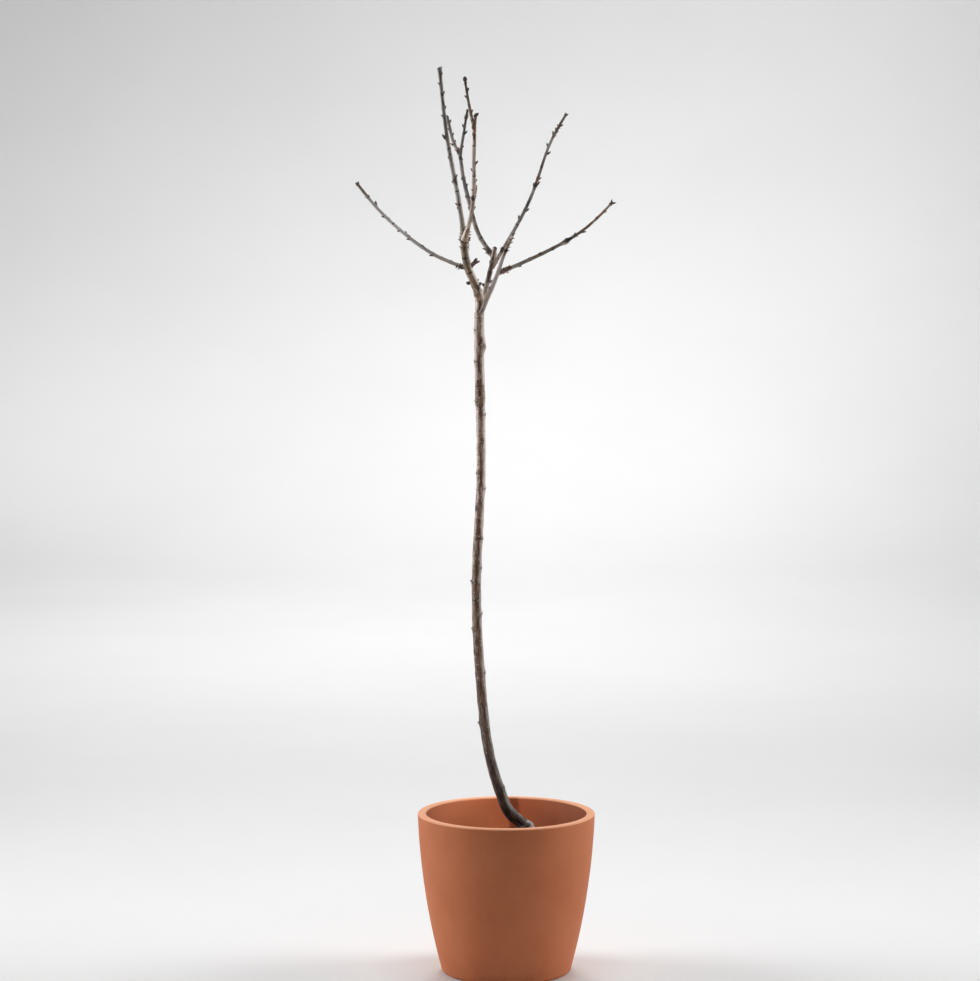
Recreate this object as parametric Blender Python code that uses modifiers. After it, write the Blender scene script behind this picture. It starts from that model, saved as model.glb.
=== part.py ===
# Potted sweetheart cherry: a bare young standard tree, grafted low, in a plain clay pot.
# Metres, Z up. The origin is the centre of the pot's flat underside, and -Y is the front.

import math
import random

import bmesh
import bpy
import numpy as np
from mathutils import Matrix, Vector

GAP = 0.0003
SEED = 58

# The pot, a plain turned tub with no collar and no saucer
POT_HEIGHT = 0.227
RIM_RADIUS = 0.125
MIDDLE_RADIUS = 0.1147
FOOT_RADIUS = 0.0906
WALL = 0.0105
FLOOR = 0.014
FLOOR_ROUND = 0.009
INNER_STEPS = 7
OUTER_STEPS = 9
LIP_ROUND = 0.0035
FOOT_ROUND = 0.007
POT_STEPS = 48

# The compost, well below the rim
SOIL_TOP = 0.172
SOIL_GAP = 0.0006

# The trunk: how far it stands to the right at each height, as (height, sideways)
TRUNK_SWAY = (
    (0.196, 0.034), (0.212, 0.021), (0.228, 0.0035), (0.246, -0.0050), (0.280, -0.0165),
    (0.330, -0.0276), (0.400, -0.0350), (0.490, -0.0409), (0.590, -0.0410),
    (0.690, -0.0360), (0.790, -0.0361), (0.880, -0.0379), (0.932, -0.0376),
)
TRUNK_BACK_SWAY = 0.005
TRUNK_HEIGHTS = (0.196, 0.300, 0.700, 0.932)
TRUNK_RADII = (0.0085, 0.0072, 0.0062, 0.0069)
TRUNK_SIDES = 3

# The rootstock that the trunk is grafted to, with its cut heel on the right
HEEL = (0.0265, 0.0, 0.2135)
STOCK_FOOT = (0.0330, 0.0, SOIL_TOP + GAP)
HEEL_RADIUS = 0.0098
STOCK_RADIUS = 0.0120
FLARE_RADIUS = 0.0175
FLARE_HEIGHT = 0.008

# Raised leaf scars and stubs along the trunk, as (height, turn in degrees, size)
# A turn of 0 points right, 90 to the back, 180 left and 270 to the front.
TRUNK_STUBS = (
    (0.260, 10, 0.0022), (0.354, 185, 0.0030), (0.419, 5, 0.0022), (0.477, 175, 0.0022),
    (0.500, 0, 0.0024), (0.546, 190, 0.0020), (0.607, -10, 0.0022), (0.678, 15, 0.0022),
    (0.700, 180, 0.0024), (0.779, 0, 0.0026), (0.800, 190, 0.0028), (0.853, 170, 0.0020),
    (0.884, 350, 0.0040), (0.905, 180, 0.0020),
)

# The three stems at the fork. Each limb is its own run: where it starts and ends, the
# sideways bows at even shares of its chord, its two radii, and the buds on it.
FORK = (-0.0376, 0.0, 0.932)
LEFT_STEM = dict(
    start=FORK, tip=(-0.0583, -0.0120, 1.0336), bows=(0.0025, -0.0017, -0.0035),
    radii=(0.0064, 0.0052), stub=0.25, sides=3,
)
RIGHT_STEM = dict(
    start=FORK, tip=(-0.0160, 0.0200, 1.0222), bows=(0.0028, 0.0022),
    radii=(0.0046, 0.0032), stub=0.28, sides=2,
)
OUTER_STEM = dict(
    start=(-0.0362, -0.0040, 0.9307), tip=(0.0079, -0.0180, 1.0381),
    bows=(0.0005, 0.0008, -0.0008), radii=(0.0036, 0.0021), stub=0.21, sides=2,
)

# The twigs that carry on from the stems. "stub" is the share of a limb that belongs to
# the piece it grows from, so that the two meet face to face, and "turn" sets its first bud.
TALL_LEADER = dict(
    start=(-0.0583, -0.0120, 1.0336), tip=(-0.0931, 0.0200, 1.2718),
    bows=(-0.0004, -0.0031, -0.0029), radii=(0.0032, 0.0022), stub=0.035, buds=11, turn=170,
    blunt=True,
)
CENTRE_TWIG = dict(
    start=(-0.0583, -0.0140, 1.0336), tip=(-0.0440, -0.0850, 1.1827),
    bows=(0.0061, 0.0060, 0.0026), radii=(0.0028, 0.0023), stub=0.075, buds=7, turn=20,
    blunt=True,
)
CENTRE_LEFT = dict(
    start=(-0.0440, -0.0850, 1.1827), tip=(-0.0567, -0.1100, 1.2520),
    bows=(-0.0007, -0.0009), radii=(0.0021, 0.0015), buds=4, turn=200,
)
CENTRE_RIGHT = dict(
    start=(-0.0440, -0.0850, 1.1827), tip=(-0.0425, -0.0950, 1.2027),
    bows=(0.0,), radii=(0.0019, 0.0016), buds=1, turn=330,
)
LEFT_LIMB = dict(
    start=(-0.0538, -0.0040, 0.9935), tip=(-0.2087, 0.0500, 1.1101),
    bows=(-0.0129, -0.0151, -0.0109), radii=(0.0027, 0.0016), stub=0.055, buds=11, turn=90,
)
BACK_TWIG = dict(
    start=(-0.0180, 0.0190, 1.0093), tip=(-0.0655, 0.1000, 1.1512),
    bows=(-0.0100, -0.0090, -0.0061), radii=(0.0030, 0.0023), stub=0.075, buds=7, turn=0,
    blunt=True,
)
BACK_LEFT = dict(
    start=(-0.0655, 0.1000, 1.1512), tip=(-0.0837, 0.1250, 1.2065),
    bows=(-0.0028, -0.0020), radii=(0.0021, 0.0015), buds=3, turn=150,
)
BACK_RIGHT = dict(
    start=(-0.0655, 0.1000, 1.1512), tip=(-0.0551, 0.1150, 1.2141),
    bows=(0.0001, -0.0001), radii=(0.0018, 0.0015), buds=3, turn=10,
)
UPPER_RIGHT = dict(
    start=(-0.0202, 0.0140, 0.9941), tip=(0.0840, 0.0800, 1.2092),
    bows=(0.0040, 0.0065, 0.0032, -0.0023), radii=(0.0027, 0.0016), stub=0.095,
    buds=12, turn=350,
)
LOWER_RIGHT = dict(
    start=(-0.0113, -0.0090, 0.9875), tip=(0.1427, -0.0750, 1.0852),
    bows=(0.0066, 0.0109, 0.0101), radii=(0.0028, 0.0016), stub=0.055, buds=11, turn=80,
)

# Short fruiting spurs with a tight bunch of buds, as (share, turn, length, buds)
LEFT_STEM_SPURS = (
    (0.39, 180, 0.006, 1), (0.61, 10, 0.006, 3), (0.66, 265, 0.002, 2),
    (0.84, 175, 0.001, 1), (0.89, 5, 0.001, 1),
)
RIGHT_STEM_SPURS = (
    (0.41, 185, 0.003, 2), (0.45, 0, 0.001, 1), (0.60, 350, 0.001, 1),
    (0.84, 170, 0.004, 3), (0.92, 20, 0.001, 1),
)
OUTER_STEM_SPURS = ((0.36, 195, 0.001, 1), (0.68, 160, 0.001, 1), (0.90, 330, 0.002, 2))
LOWER_RIGHT_SPURS = ((0.08, 95, 0.002, 3), (0.14, 265, 0.002, 2), (0.62, 95, 0.001, 2))

BUD_LENGTH = 0.0052
BUD_WIDTH = 0.0028
BUD_LEAN = 38
SPUR_RADII = (0.0026, 0.0023, 0.0024)
NEXT_BUD = 144
SIDE_ROOT = 0.975
RING_STEP = 0.011
WELD = 0.00002

BARK = (0.20, 0.14, 0.11)
TWIG_BARK = (0.28, 0.20, 0.15)
CLAY = (0.60, 0.27, 0.15)
COMPOST = (0.06, 0.045, 0.035)


def clear_scene():
    for obj in list(bpy.data.objects):
        bpy.data.objects.remove(obj, do_unlink=True)


def make_material(name, colour, roughness):
    mat = bpy.data.materials.new(name)
    mat.use_nodes = True
    shader = mat.node_tree.nodes["Principled BSDF"]
    shader.inputs["Base Color"].default_value = (*colour, 1.0)
    shader.inputs["Roughness"].default_value = roughness
    shader.inputs["Metallic"].default_value = 0.0
    return mat


def add_object(name, mesh, home):
    obj = bpy.data.objects.new(name, mesh)
    home.objects.link(obj)
    return obj


def smooth_line(stations, step=RING_STEP):
    # a natural cubic curve through the stations, read at even steps along it
    knots = np.array([tuple(p) for p in stations])
    runs = np.linalg.norm(np.diff(knots, axis=0), axis=1)
    at = np.concatenate(([0.0], np.cumsum(runs)))
    count = len(knots)
    system = np.eye(count)
    right = np.zeros((count, 3))
    for i in range(1, count - 1):
        system[i, i - 1] = runs[i - 1]
        system[i, i] = 2 * (runs[i - 1] + runs[i])
        system[i, i + 1] = runs[i]
        ahead = (knots[i + 1] - knots[i]) / runs[i]
        behind = (knots[i] - knots[i - 1]) / runs[i - 1]
        right[i] = 6 * (ahead - behind)
    bend = np.linalg.solve(system, right)
    steps = max(2, round(at[-1] / step))
    line = []
    for k in range(steps + 1):
        s = at[-1] * k / steps
        i = min(int(np.searchsorted(at, s, side="right")) - 1, count - 2)
        a = at[i + 1] - s
        b = s - at[i]
        run = runs[i]
        point = (bend[i] * a**3 + bend[i + 1] * b**3) / (6 * run)
        point += (knots[i] / run - bend[i] * run / 6) * a
        point += (knots[i + 1] / run - bend[i + 1] * run / 6) * b
        line.append(Vector(point))
    return line


def limb_line(limb):
    # the chord from start to tip, pushed to its right-hand side by each bow in turn
    start = Vector(limb["start"])
    chord = Vector(limb["tip"]) - start
    side = Vector((chord.z, 0.0, -chord.x)).normalized()
    bows = (0.0, *limb["bows"], 0.0)
    last = len(bows) - 1
    return smooth_line([start + chord * (k / last) + side * bow for k, bow in enumerate(bows)])


def trunk_line():
    low = TRUNK_SWAY[0][0]
    span = TRUNK_SWAY[-1][0] - low
    stations = []
    for height, sideways in TRUNK_SWAY:
        back = TRUNK_BACK_SWAY * math.sin(2 * math.pi * (height - low) / span)
        stations.append(Vector((sideways, back, height)))
    return smooth_line(stations)


def lengths(line):
    at = [0.0]
    for a, b in zip(line, line[1:]):
        at.append(at[-1] + (b - a).length)
    return at


def point_at(line, share):
    # the point and the direction at a share of the line's length
    at = lengths(line)
    want = share * at[-1]
    for i in range(len(line) - 1):
        if at[i + 1] >= want:
            break
    along = line[i + 1] - line[i]
    return line[i] + along * ((want - at[i]) / along.length), along.normalized()


def cut_line(line, first, last):
    # the run of a line between two shares of its length
    at = lengths(line)
    inner = [p for p, s in zip(line, at) if first + 0.02 < s / at[-1] < last - 0.02]
    return [point_at(line, first)[0], *inner, point_at(line, last)[0]]


def tube(name, points, radii, sides):
    # a closed tube through the points, as a mesh with its caps welded
    curve = bpy.data.curves.new(name, "CURVE")
    curve.dimensions = "3D"
    curve.bevel_depth = 1.0
    curve.bevel_resolution = sides
    curve.use_fill_caps = True
    spline = curve.splines.new("POLY")
    spline.points.add(len(points) - 1)
    for spot, point, radius in zip(spline.points, points, radii):
        spot.co = (*point, 1.0)
        spot.radius = radius
    guide = bpy.data.objects.new(name, curve)
    bpy.context.scene.collection.objects.link(guide)
    graph = bpy.context.evaluated_depsgraph_get()
    mesh = bpy.data.meshes.new_from_object(guide.evaluated_get(graph))
    bm = bmesh.new()
    bm.from_mesh(mesh)
    bmesh.ops.remove_doubles(bm, verts=bm.verts, dist=WELD)
    bmesh.ops.recalc_face_normals(bm, faces=bm.faces)
    bm.to_mesh(mesh)
    bm.free()
    bpy.data.objects.remove(guide)
    bpy.data.curves.remove(curve)
    return mesh


def taper(line, radii):
    first, last = radii
    at = lengths(line)
    return [first + (last - first) * (s / at[-1]) for s in at]


def limb_radius(limb, share):
    first, last = limb["radii"]
    return first + (last - first) * share


def limb_tube(name, limb, first=0.0, last=1.0, sunk=None):
    # sunk is a point inside the parent limb that a side twig is rooted at
    line = cut_line(limb_line(limb), first, last)
    if sunk:
        line.insert(0, sunk)
    ends = (limb_radius(limb, first), limb_radius(limb, last))
    return tube(name, line, taper(line, ends), limb.get("sides", 1))


def outward(along, turn):
    # a direction square to the limb: 0 is right, 90 back, 180 left, 270 front
    right = Vector((1.0, 0.0, 0.0))
    right = (right - along * right.dot(along)).normalized()
    back = right.cross(along).normalized()
    if back.y < 0:
        back = -back
    angle = math.radians(turn)
    return right * math.cos(angle) + back * math.sin(angle)


def bud_mesh(name, root, aim, length, width):
    # a plump bud, sunk by its lower third
    mesh = bpy.data.meshes.new(name)
    place = Matrix.Translation(root + aim * (length * 0.22))
    place @= Vector((0, 0, 1)).rotation_difference(aim).to_matrix().to_4x4()
    place @= Matrix.Diagonal((width / 2, width / 2, length / 2, 1.0))
    bm = bmesh.new()
    bmesh.ops.create_uvsphere(bm, u_segments=5, v_segments=4, radius=1.0, matrix=place)
    bm.to_mesh(mesh)
    bm.free()
    return mesh


def buds_on(limb, name, rng):
    # buds set round the twig two fifths of a turn apart, and one at its tip unless it is cut
    line = limb_line(limb)
    made = []
    first = limb.get("stub", 0.0) + 0.08
    for k in range(limb["buds"]):
        share = first + (0.97 - first) * (k + rng.uniform(0.3, 0.7)) / limb["buds"]
        centre, along = point_at(line, share)
        turn = limb["turn"] + NEXT_BUD * k + rng.uniform(-14, 14)
        lean = math.radians(BUD_LEAN + rng.uniform(-8, 8))
        out = outward(along, turn)
        size = rng.uniform(0.85, 1.15)
        root = centre + out * (limb_radius(limb, share) * 0.9)
        aim = (out * math.sin(lean) + along * math.cos(lean)).normalized()
        label = f"{name}_bud_{k:02d}"
        made.append(bud_mesh(label, root, aim, BUD_LENGTH * size, BUD_WIDTH * size))
    if limb.get("blunt"):
        return made
    tip, along = point_at(line, 1.0)
    root = tip - along * (BUD_LENGTH * 0.8)
    made.append(bud_mesh(f"{name}_tip", root, along, BUD_LENGTH * 1.2, BUD_WIDTH * 1.25))
    return made


def spurs_on(limb, name, spurs, rng):
    # a short stalk with its buds fanned round the end
    line = limb_line(limb)
    made = []
    for k, (share, turn, length, count) in enumerate(spurs):
        centre, along = point_at(line, share)
        out = outward(along, turn)
        aim = (out * 0.8 + along * 0.6).normalized()
        root = centre + out * (limb_radius(limb, share) * 0.5)
        end = root + aim * (length + limb_radius(limb, share) * 0.5)
        made.append(tube(f"{name}_spur_{k}", [root, (root + end) / 2, end], SPUR_RADII, 1))
        for n in range(count):
            fan = 360 * n / count + rng.uniform(-20, 20)
            spread = outward(aim, fan) * (0.55 if count > 1 else 0.0)
            way = (aim + spread).normalized()
            root_bud = end + spread * 0.0016
            label = f"{name}_spur_{k}_{n}"
            made.append(bud_mesh(label, root_bud, way, BUD_LENGTH * 1.1, BUD_WIDTH * 1.15))
    return made


def fuse(name, body, extras, home, material):
    # one solid from a body mesh and the meshes that grow into it
    obj = add_object(name, body, home)
    if extras:
        group = bpy.data.collections.new(f"{name}_extras")
        bpy.context.scene.collection.children.link(group)
        for mesh in extras:
            add_object(mesh.name, mesh, group)
        union = obj.modifiers.new("union", "BOOLEAN")
        union.operation = "UNION"
        union.operand_type = "COLLECTION"
        union.collection = group
        union.solver = "EXACT"
        union.use_self = True
        graph = bpy.context.evaluated_depsgraph_get()
        joined = bpy.data.meshes.new_from_object(obj.evaluated_get(graph))
        obj.modifiers.clear()
        obj.data = joined
        for extra in list(group.objects):
            bpy.data.objects.remove(extra, do_unlink=True)
        bpy.data.collections.remove(group)
    bm = bmesh.new()
    bm.from_mesh(obj.data)
    bmesh.ops.remove_doubles(bm, verts=bm.verts, dist=WELD)
    bmesh.ops.dissolve_degenerate(bm, edges=bm.edges, dist=WELD)
    bm.to_mesh(obj.data)
    bm.free()
    obj.data.materials.clear()
    obj.data.materials.append(material)
    obj.data.shade_smooth()
    return obj


def outer_radius(height):
    # the bellied side: a parabola through the foot, the middle and the rim
    share = height / POT_HEIGHT
    bend = 2 * (RIM_RADIUS + FOOT_RADIUS) - 4 * MIDDLE_RADIUS
    slope = RIM_RADIUS - FOOT_RADIUS - bend
    return FOOT_RADIUS + slope * share + bend * share**2


def arc(centre, radius, first, last, steps):
    x, z = centre
    turns = [math.radians(first + (last - first) * k / steps) for k in range(steps + 1)]
    return [(x + radius * math.cos(a), z + radius * math.sin(a)) for a in turns]


def inner_side():
    # the inside from the floor's edge up to just under the lip
    low = FLOOR + FLOOR_ROUND
    top = POT_HEIGHT - LIP_ROUND
    side = [(outer_radius(FLOOR) - WALL - 0.012, FLOOR), (outer_radius(low) - WALL - 0.002, low)]
    for k in range(1, INNER_STEPS):
        height = low + (top - low) * k / INNER_STEPS
        side.append((outer_radius(height) - WALL, height))
    return side


def pot_profile():
    inner_rim = RIM_RADIUS - WALL
    top = POT_HEIGHT - LIP_ROUND
    foot_in = outer_radius(FOOT_ROUND) - FOOT_ROUND
    profile = [(0.0, FLOOR), *inner_side()]
    profile += arc((inner_rim + LIP_ROUND, top), LIP_ROUND, 180, 90, 3)
    profile += arc((RIM_RADIUS - LIP_ROUND, top), LIP_ROUND, 90, 0, 3)
    for k in range(1, OUTER_STEPS):
        height = top + (FOOT_ROUND - top) * k / OUTER_STEPS
        profile.append((outer_radius(height), height))
    profile += arc((foot_in, FOOT_ROUND), FOOT_ROUND, 0, -90, 4)
    profile.append((0.0, 0.0))
    return profile


def turned(name, profile, steps, home, material):
    mesh = bpy.data.meshes.new(name)
    spots = [(radius, 0.0, height) for radius, height in profile]
    edges = [(k, k + 1) for k in range(len(spots) - 1)]
    mesh.from_pydata(spots, edges, [])
    obj = add_object(name, mesh, home)
    screw = obj.modifiers.new("turn", "SCREW")
    screw.steps = steps
    screw.render_steps = steps
    screw.use_merge_vertices = True
    screw.merge_threshold = 0.00005
    screw.use_smooth_shade = True
    obj.data.materials.append(material)
    return obj


def make_pot(home):
    clay = make_material("clay", CLAY, 0.75)
    return turned("pot", pot_profile(), POT_STEPS, home, clay)


def make_compost(home):
    # fills the pot up to its own level, a hair clear of the wall and the floor
    compost = make_material("compost", COMPOST, 0.95)
    side = [spot for spot in inner_side() if spot[1] < SOIL_TOP - 0.004]
    below = side[-1]
    slope = (outer_radius(SOIL_TOP) - WALL - below[0]) / (SOIL_TOP - below[1])
    side.append((below[0] + slope * (SOIL_TOP - below[1]) - 0.0002, SOIL_TOP))
    profile = [(0.0, SOIL_TOP)]
    for radius, height in reversed(side):
        profile.append((radius - SOIL_GAP, max(height, FLOOR + GAP)))
    profile.append((0.0, FLOOR + GAP))
    return turned("compost", profile, POT_STEPS, home, compost)


def trunk_radius(height):
    # a stout foot, a slim waist high up, and a little thicker again at the fork
    return float(np.interp(height, TRUNK_HEIGHTS, TRUNK_RADII))


def make_trunk(home, bark):
    line = trunk_line()
    body = tube("trunk", line, [trunk_radius(p.z) for p in line], TRUNK_SIDES)
    foot = Vector(STOCK_FOOT)
    heel = Vector(HEEL)
    collar = foot + Vector((0.0, 0.0, FLARE_HEIGHT))
    rise = heel - collar
    spots = [foot, collar, collar + rise * 0.45, collar + rise * 0.85, heel]
    crown = HEEL_RADIUS * 0.62
    wide = (FLARE_RADIUS, STOCK_RADIUS * 1.08, STOCK_RADIUS, HEEL_RADIUS, crown)
    extras = [tube("rootstock", spots, wide, TRUNK_SIDES)]
    at = lengths(line)
    for k, (height, turn, size) in enumerate(TRUNK_STUBS):
        i = min(range(len(line)), key=lambda n: abs(line[n].z - height))
        centre, along = point_at(line, at[i] / at[-1])
        out = outward(along, turn)
        root = centre + out * (trunk_radius(height) - size * 0.1)
        aim = (out + along * 0.8).normalized()
        extras.append(bud_mesh(f"scar_{k:02d}", root, aim, size * 2.2, size * 1.7))
    for name, limb in (("left", LEFT_STEM), ("right", RIGHT_STEM), ("outer", OUTER_STEM)):
        extras.append(limb_tube(f"{name}_stub", limb, 0.0, limb["stub"]))
    return fuse("trunk", body, extras, home, bark)


def start_share(limb):
    # just past the stub that the limb grows on from
    return limb["stub"] + GAP / lengths(limb_line(limb))[-1]


def make_stem(name, limb, spurs, carried, home, bark, rng):
    body = limb_tube(name, limb, start_share(limb))
    extras = spurs_on(limb, name, spurs, rng)
    for k, twig in enumerate(carried):
        extras.append(limb_tube(f"{name}_stub_{k}", twig, 0.0, twig["stub"]))
    return fuse(name, body, extras, home, bark)


def make_twigs(name, stem, sides, spurs, home, bark, rng):
    body = limb_tube(name, stem, start_share(stem))
    extras = buds_on(stem, name, rng)
    extras += spurs_on(stem, name, spurs, rng)
    for k, twig in enumerate(sides):
        sunk = point_at(limb_line(stem), SIDE_ROOT - 0.01 * k)[0]
        extras.append(limb_tube(f"{name}_side_{k}", twig, sunk=sunk))
        extras += buds_on(twig, f"{name}_side_{k}", rng)
    return fuse(name, body, extras, home, bark)


def main():
    clear_scene()
    home = bpy.data.collections.new("potted_cherry")
    bpy.context.scene.collection.children.link(home)
    rng = random.Random(SEED)
    bark = make_material("bark", BARK, 0.7)
    twig_bark = make_material("twig_bark", TWIG_BARK, 0.7)
    make_pot(home)
    make_compost(home)
    make_trunk(home, bark)
    tip_twigs = (TALL_LEADER, CENTRE_TWIG, LEFT_LIMB)
    make_stem("left_stem", LEFT_STEM, LEFT_STEM_SPURS, tip_twigs, home, bark, rng)
    tip_twigs = (BACK_TWIG, UPPER_RIGHT)
    make_stem("right_stem", RIGHT_STEM, RIGHT_STEM_SPURS, tip_twigs, home, bark, rng)
    tip_twigs = (LOWER_RIGHT,)
    make_stem("outer_stem", OUTER_STEM, OUTER_STEM_SPURS, tip_twigs, home, bark, rng)
    make_twigs("tall_leader", TALL_LEADER, (), (), home, twig_bark, rng)
    sides = (CENTRE_LEFT, CENTRE_RIGHT)
    make_twigs("centre_twigs", CENTRE_TWIG, sides, (), home, twig_bark, rng)
    make_twigs("left_limb", LEFT_LIMB, (), (), home, twig_bark, rng)
    sides = (BACK_LEFT, BACK_RIGHT)
    make_twigs("back_twigs", BACK_TWIG, sides, (), home, twig_bark, rng)
    make_twigs("upper_right_twig", UPPER_RIGHT, (), (), home, twig_bark, rng)
    make_twigs("lower_right_twig", LOWER_RIGHT, (), LOWER_RIGHT_SPURS, home, twig_bark, rng)
    bpy.context.view_layer.update()


main()
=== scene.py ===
import math
import random

import bpy
import numpy as np
from mathutils import Matrix, Vector, noise


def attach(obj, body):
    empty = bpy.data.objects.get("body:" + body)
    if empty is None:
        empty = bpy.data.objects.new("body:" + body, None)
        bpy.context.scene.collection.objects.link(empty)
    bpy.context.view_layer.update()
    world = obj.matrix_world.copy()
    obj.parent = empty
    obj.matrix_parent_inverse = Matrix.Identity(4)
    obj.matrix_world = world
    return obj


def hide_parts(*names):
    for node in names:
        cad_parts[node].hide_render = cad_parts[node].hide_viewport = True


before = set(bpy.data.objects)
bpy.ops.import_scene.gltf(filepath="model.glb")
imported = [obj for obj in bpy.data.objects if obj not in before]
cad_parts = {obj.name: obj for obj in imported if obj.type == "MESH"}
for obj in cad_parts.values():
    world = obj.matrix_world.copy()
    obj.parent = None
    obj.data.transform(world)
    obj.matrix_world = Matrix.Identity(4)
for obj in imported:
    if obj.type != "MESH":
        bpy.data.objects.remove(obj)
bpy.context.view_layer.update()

# curved limbs: their centre lines, and the skin that grows round them


def softLine(stations, step):
    # natural cubic curve through the stations, read at even steps
    knots = np.array([tuple(p) for p in stations])
    runs = np.linalg.norm(np.diff(knots, axis=0), axis=1)
    at = np.concatenate(([0.0], np.cumsum(runs)))
    count = len(knots)
    system = np.eye(count)
    right = np.zeros((count, 3))
    for i in range(1, count - 1):
        system[i, i - 1] = runs[i - 1]
        system[i, i] = 2 * (runs[i - 1] + runs[i])
        system[i, i + 1] = runs[i]
        ahead = (knots[i + 1] - knots[i]) / runs[i]
        behind = (knots[i] - knots[i - 1]) / runs[i - 1]
        right[i] = 6 * (ahead - behind)
    bend = np.linalg.solve(system, right)
    steps = max(2, round(at[-1] / step))
    line = []
    for k in range(steps + 1):
        s = at[-1] * k / steps
        i = min(int(np.searchsorted(at, s, side="right")) - 1, count - 2)
        a = at[i + 1] - s
        b = s - at[i]
        run = runs[i]
        point = (bend[i] * a**3 + bend[i + 1] * b**3) / (6 * run)
        point += (knots[i] / run - bend[i] * run / 6) * a
        point += (knots[i + 1] / run - bend[i + 1] * run / 6) * b
        line.append(Vector(point))
    return line


def limbLine(limb, step=0.0009):
    # chord from start to tip, pushed to its right-hand side by each bow in turn
    start = Vector(limb["start"])
    chord = Vector(limb["tip"]) - start
    side = Vector((chord.z, 0.0, -chord.x)).normalized()
    bows = (0.0, *limb["bows"], 0.0)
    last = len(bows) - 1
    return softLine([start + chord * (k / last) + side * bow for k, bow in enumerate(bows)], step)


def lineLength(line):
    return sum((b - a).length for a, b in zip(line, line[1:]))


def spotAt(line, share):
    # lines have even steps, so a share of the length is a share of the points
    at = min(max(share, 0.0), 1.0) * (len(line) - 1)
    i = min(int(at), len(line) - 2)
    along = line[i + 1] - line[i]
    return line[i] + along * (at - i), along.normalized()


def limbRadius(limb, share):
    first, last = limb["radii"]
    return first + (last - first) * share


def outward(along, turn):
    # degrees round a limb: 0 is right, 90 back, 180 left, 270 front
    right = Vector((1.0, 0.0, 0.0))
    right = (right - along * right.dot(along)).normalized()
    back = along.cross(right).normalized()
    angle = math.radians(turn)
    return right * math.cos(angle) + back * math.sin(angle)


def facing(turn, other):
    # 1 where two turns agree, 0 from a quarter turn apart
    return max(0.0, math.cos(math.radians(turn - other)))


def bell(gap, width):
    return math.exp(-(gap / width) ** 2)


def newSkin():
    return dict(verts=[], faces=[], spots=[], tones=[], tints=[])


def addPiece(name, skin, mat):
    mesh = bpy.data.meshes.new(name)
    mesh.from_pydata(skin["verts"], [], skin["faces"])
    for key, layerName in (("spots", "limbSpot"), ("tones", "limbTone"), ("tints", "limbTint")):
        if skin.get(key):
            layer = mesh.attributes.new(layerName, "FLOAT_VECTOR", "POINT")
            layer.data.foreach_set("vector", np.array(skin[key], dtype=np.float32).ravel())
    mesh.materials.append(mat)
    mesh.shade_smooth()
    piece = bpy.data.objects.new(name, mesh)
    bpy.context.scene.collection.objects.link(piece)
    return piece


def skinLimb(line, sides, skin, seed, reach, radiusAt, toneAt, cut=None):
    # radiusAt and toneAt take the share of the length, the turn in degrees and the run in metres.
    # limbSpot keeps straightened coordinates for the bark's pattern
    verts = skin["verts"]
    base = len(verts)
    rings = len(line)
    step = lineLength(line) / (rings - 1)
    for k, point in enumerate(line):
        along = (line[min(k + 1, rings - 1)] - line[max(k - 1, 0)]).normalized()
        share = k / (rings - 1)
        run = step * k
        for n in range(sides):
            turn = 360 * n / sides
            way = outward(along, turn)
            spot = point + way * radiusAt(share, turn, run)
            if cut and k >= rings - 3:
                spot += along * cut["slant"] * math.cos(math.radians(turn - cut["turn"]))
            verts.append(spot)
            angle = math.radians(turn)
            skin["spots"].append((math.cos(angle) * reach + seed, math.sin(angle) * reach, run + seed * 3))
            tone, tint = toneAt(share, turn, run)
            skin["tones"].append(tone)
            skin["tints"].append(tint)
    for k in range(rings - 1):
        for n in range(sides):
            a = base + k * sides + n
            b = base + k * sides + (n + 1) % sides
            skin["faces"].append((a, b, b + sides, a + sides))
    top = len(verts)
    tipWay = (line[-1] - line[-2]).normalized()
    rise = radiusAt(1.0, 0.0, step * (rings - 1)) * (0.05 if cut else 0.5)
    for spot, run, share in ((line[-1] + tipWay * rise, step * (rings - 1), 1.0), (line[0], 0.0, 0.0)):
        verts.append(spot)
        skin["spots"].append((seed, 0.0, run + seed * 3))
        tone, tint = toneAt(share, 0.0, run)
        skin["tones"].append((0.9, 0.25, 1.0) if cut and share else tone)
        skin["tints"].append(tint)
    for n in range(sides):
        m = (n + 1) % sides
        skin["faces"].append((base + (rings - 1) * sides + n, base + (rings - 1) * sides + m, top))
        skin["faces"].append((base + m, base + n, top + 1))


# materials


def newMaterial(name):
    mat = bpy.data.materials.new(name)
    mat.use_nodes = True
    nodes = mat.node_tree.nodes
    links = mat.node_tree.links
    return mat, nodes, links, nodes["Principled BSDF"]


def noiseNode(nodes, links, source, scale, detail=4.0, rough=0.55):
    node = nodes.new("ShaderNodeTexNoise")
    node.inputs["Scale"].default_value = scale
    node.inputs["Detail"].default_value = detail
    node.inputs["Roughness"].default_value = rough
    links.new(source, node.inputs["Vector"])
    return node.outputs["Fac"]


def cellNode(nodes, links, source, scale):
    node = nodes.new("ShaderNodeTexVoronoi")
    node.inputs["Scale"].default_value = scale
    links.new(source, node.inputs["Vector"])
    return node.outputs["Distance"], node.outputs["Color"]


def rampNode(nodes, links, source, *stops):
    # each stop is a place and a colour, or a place and one grey
    node = nodes.new("ShaderNodeValToRGB")
    ramp = node.color_ramp
    while len(ramp.elements) < len(stops):
        ramp.elements.new(0.5)
    for element, (spot, colour) in zip(ramp.elements, stops):
        element.position = spot
        element.color = (*colour, 1.0) if isinstance(colour, tuple) else (colour, colour, colour, 1.0)
    links.new(source, node.inputs["Fac"])
    return node.outputs["Color"]


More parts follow.
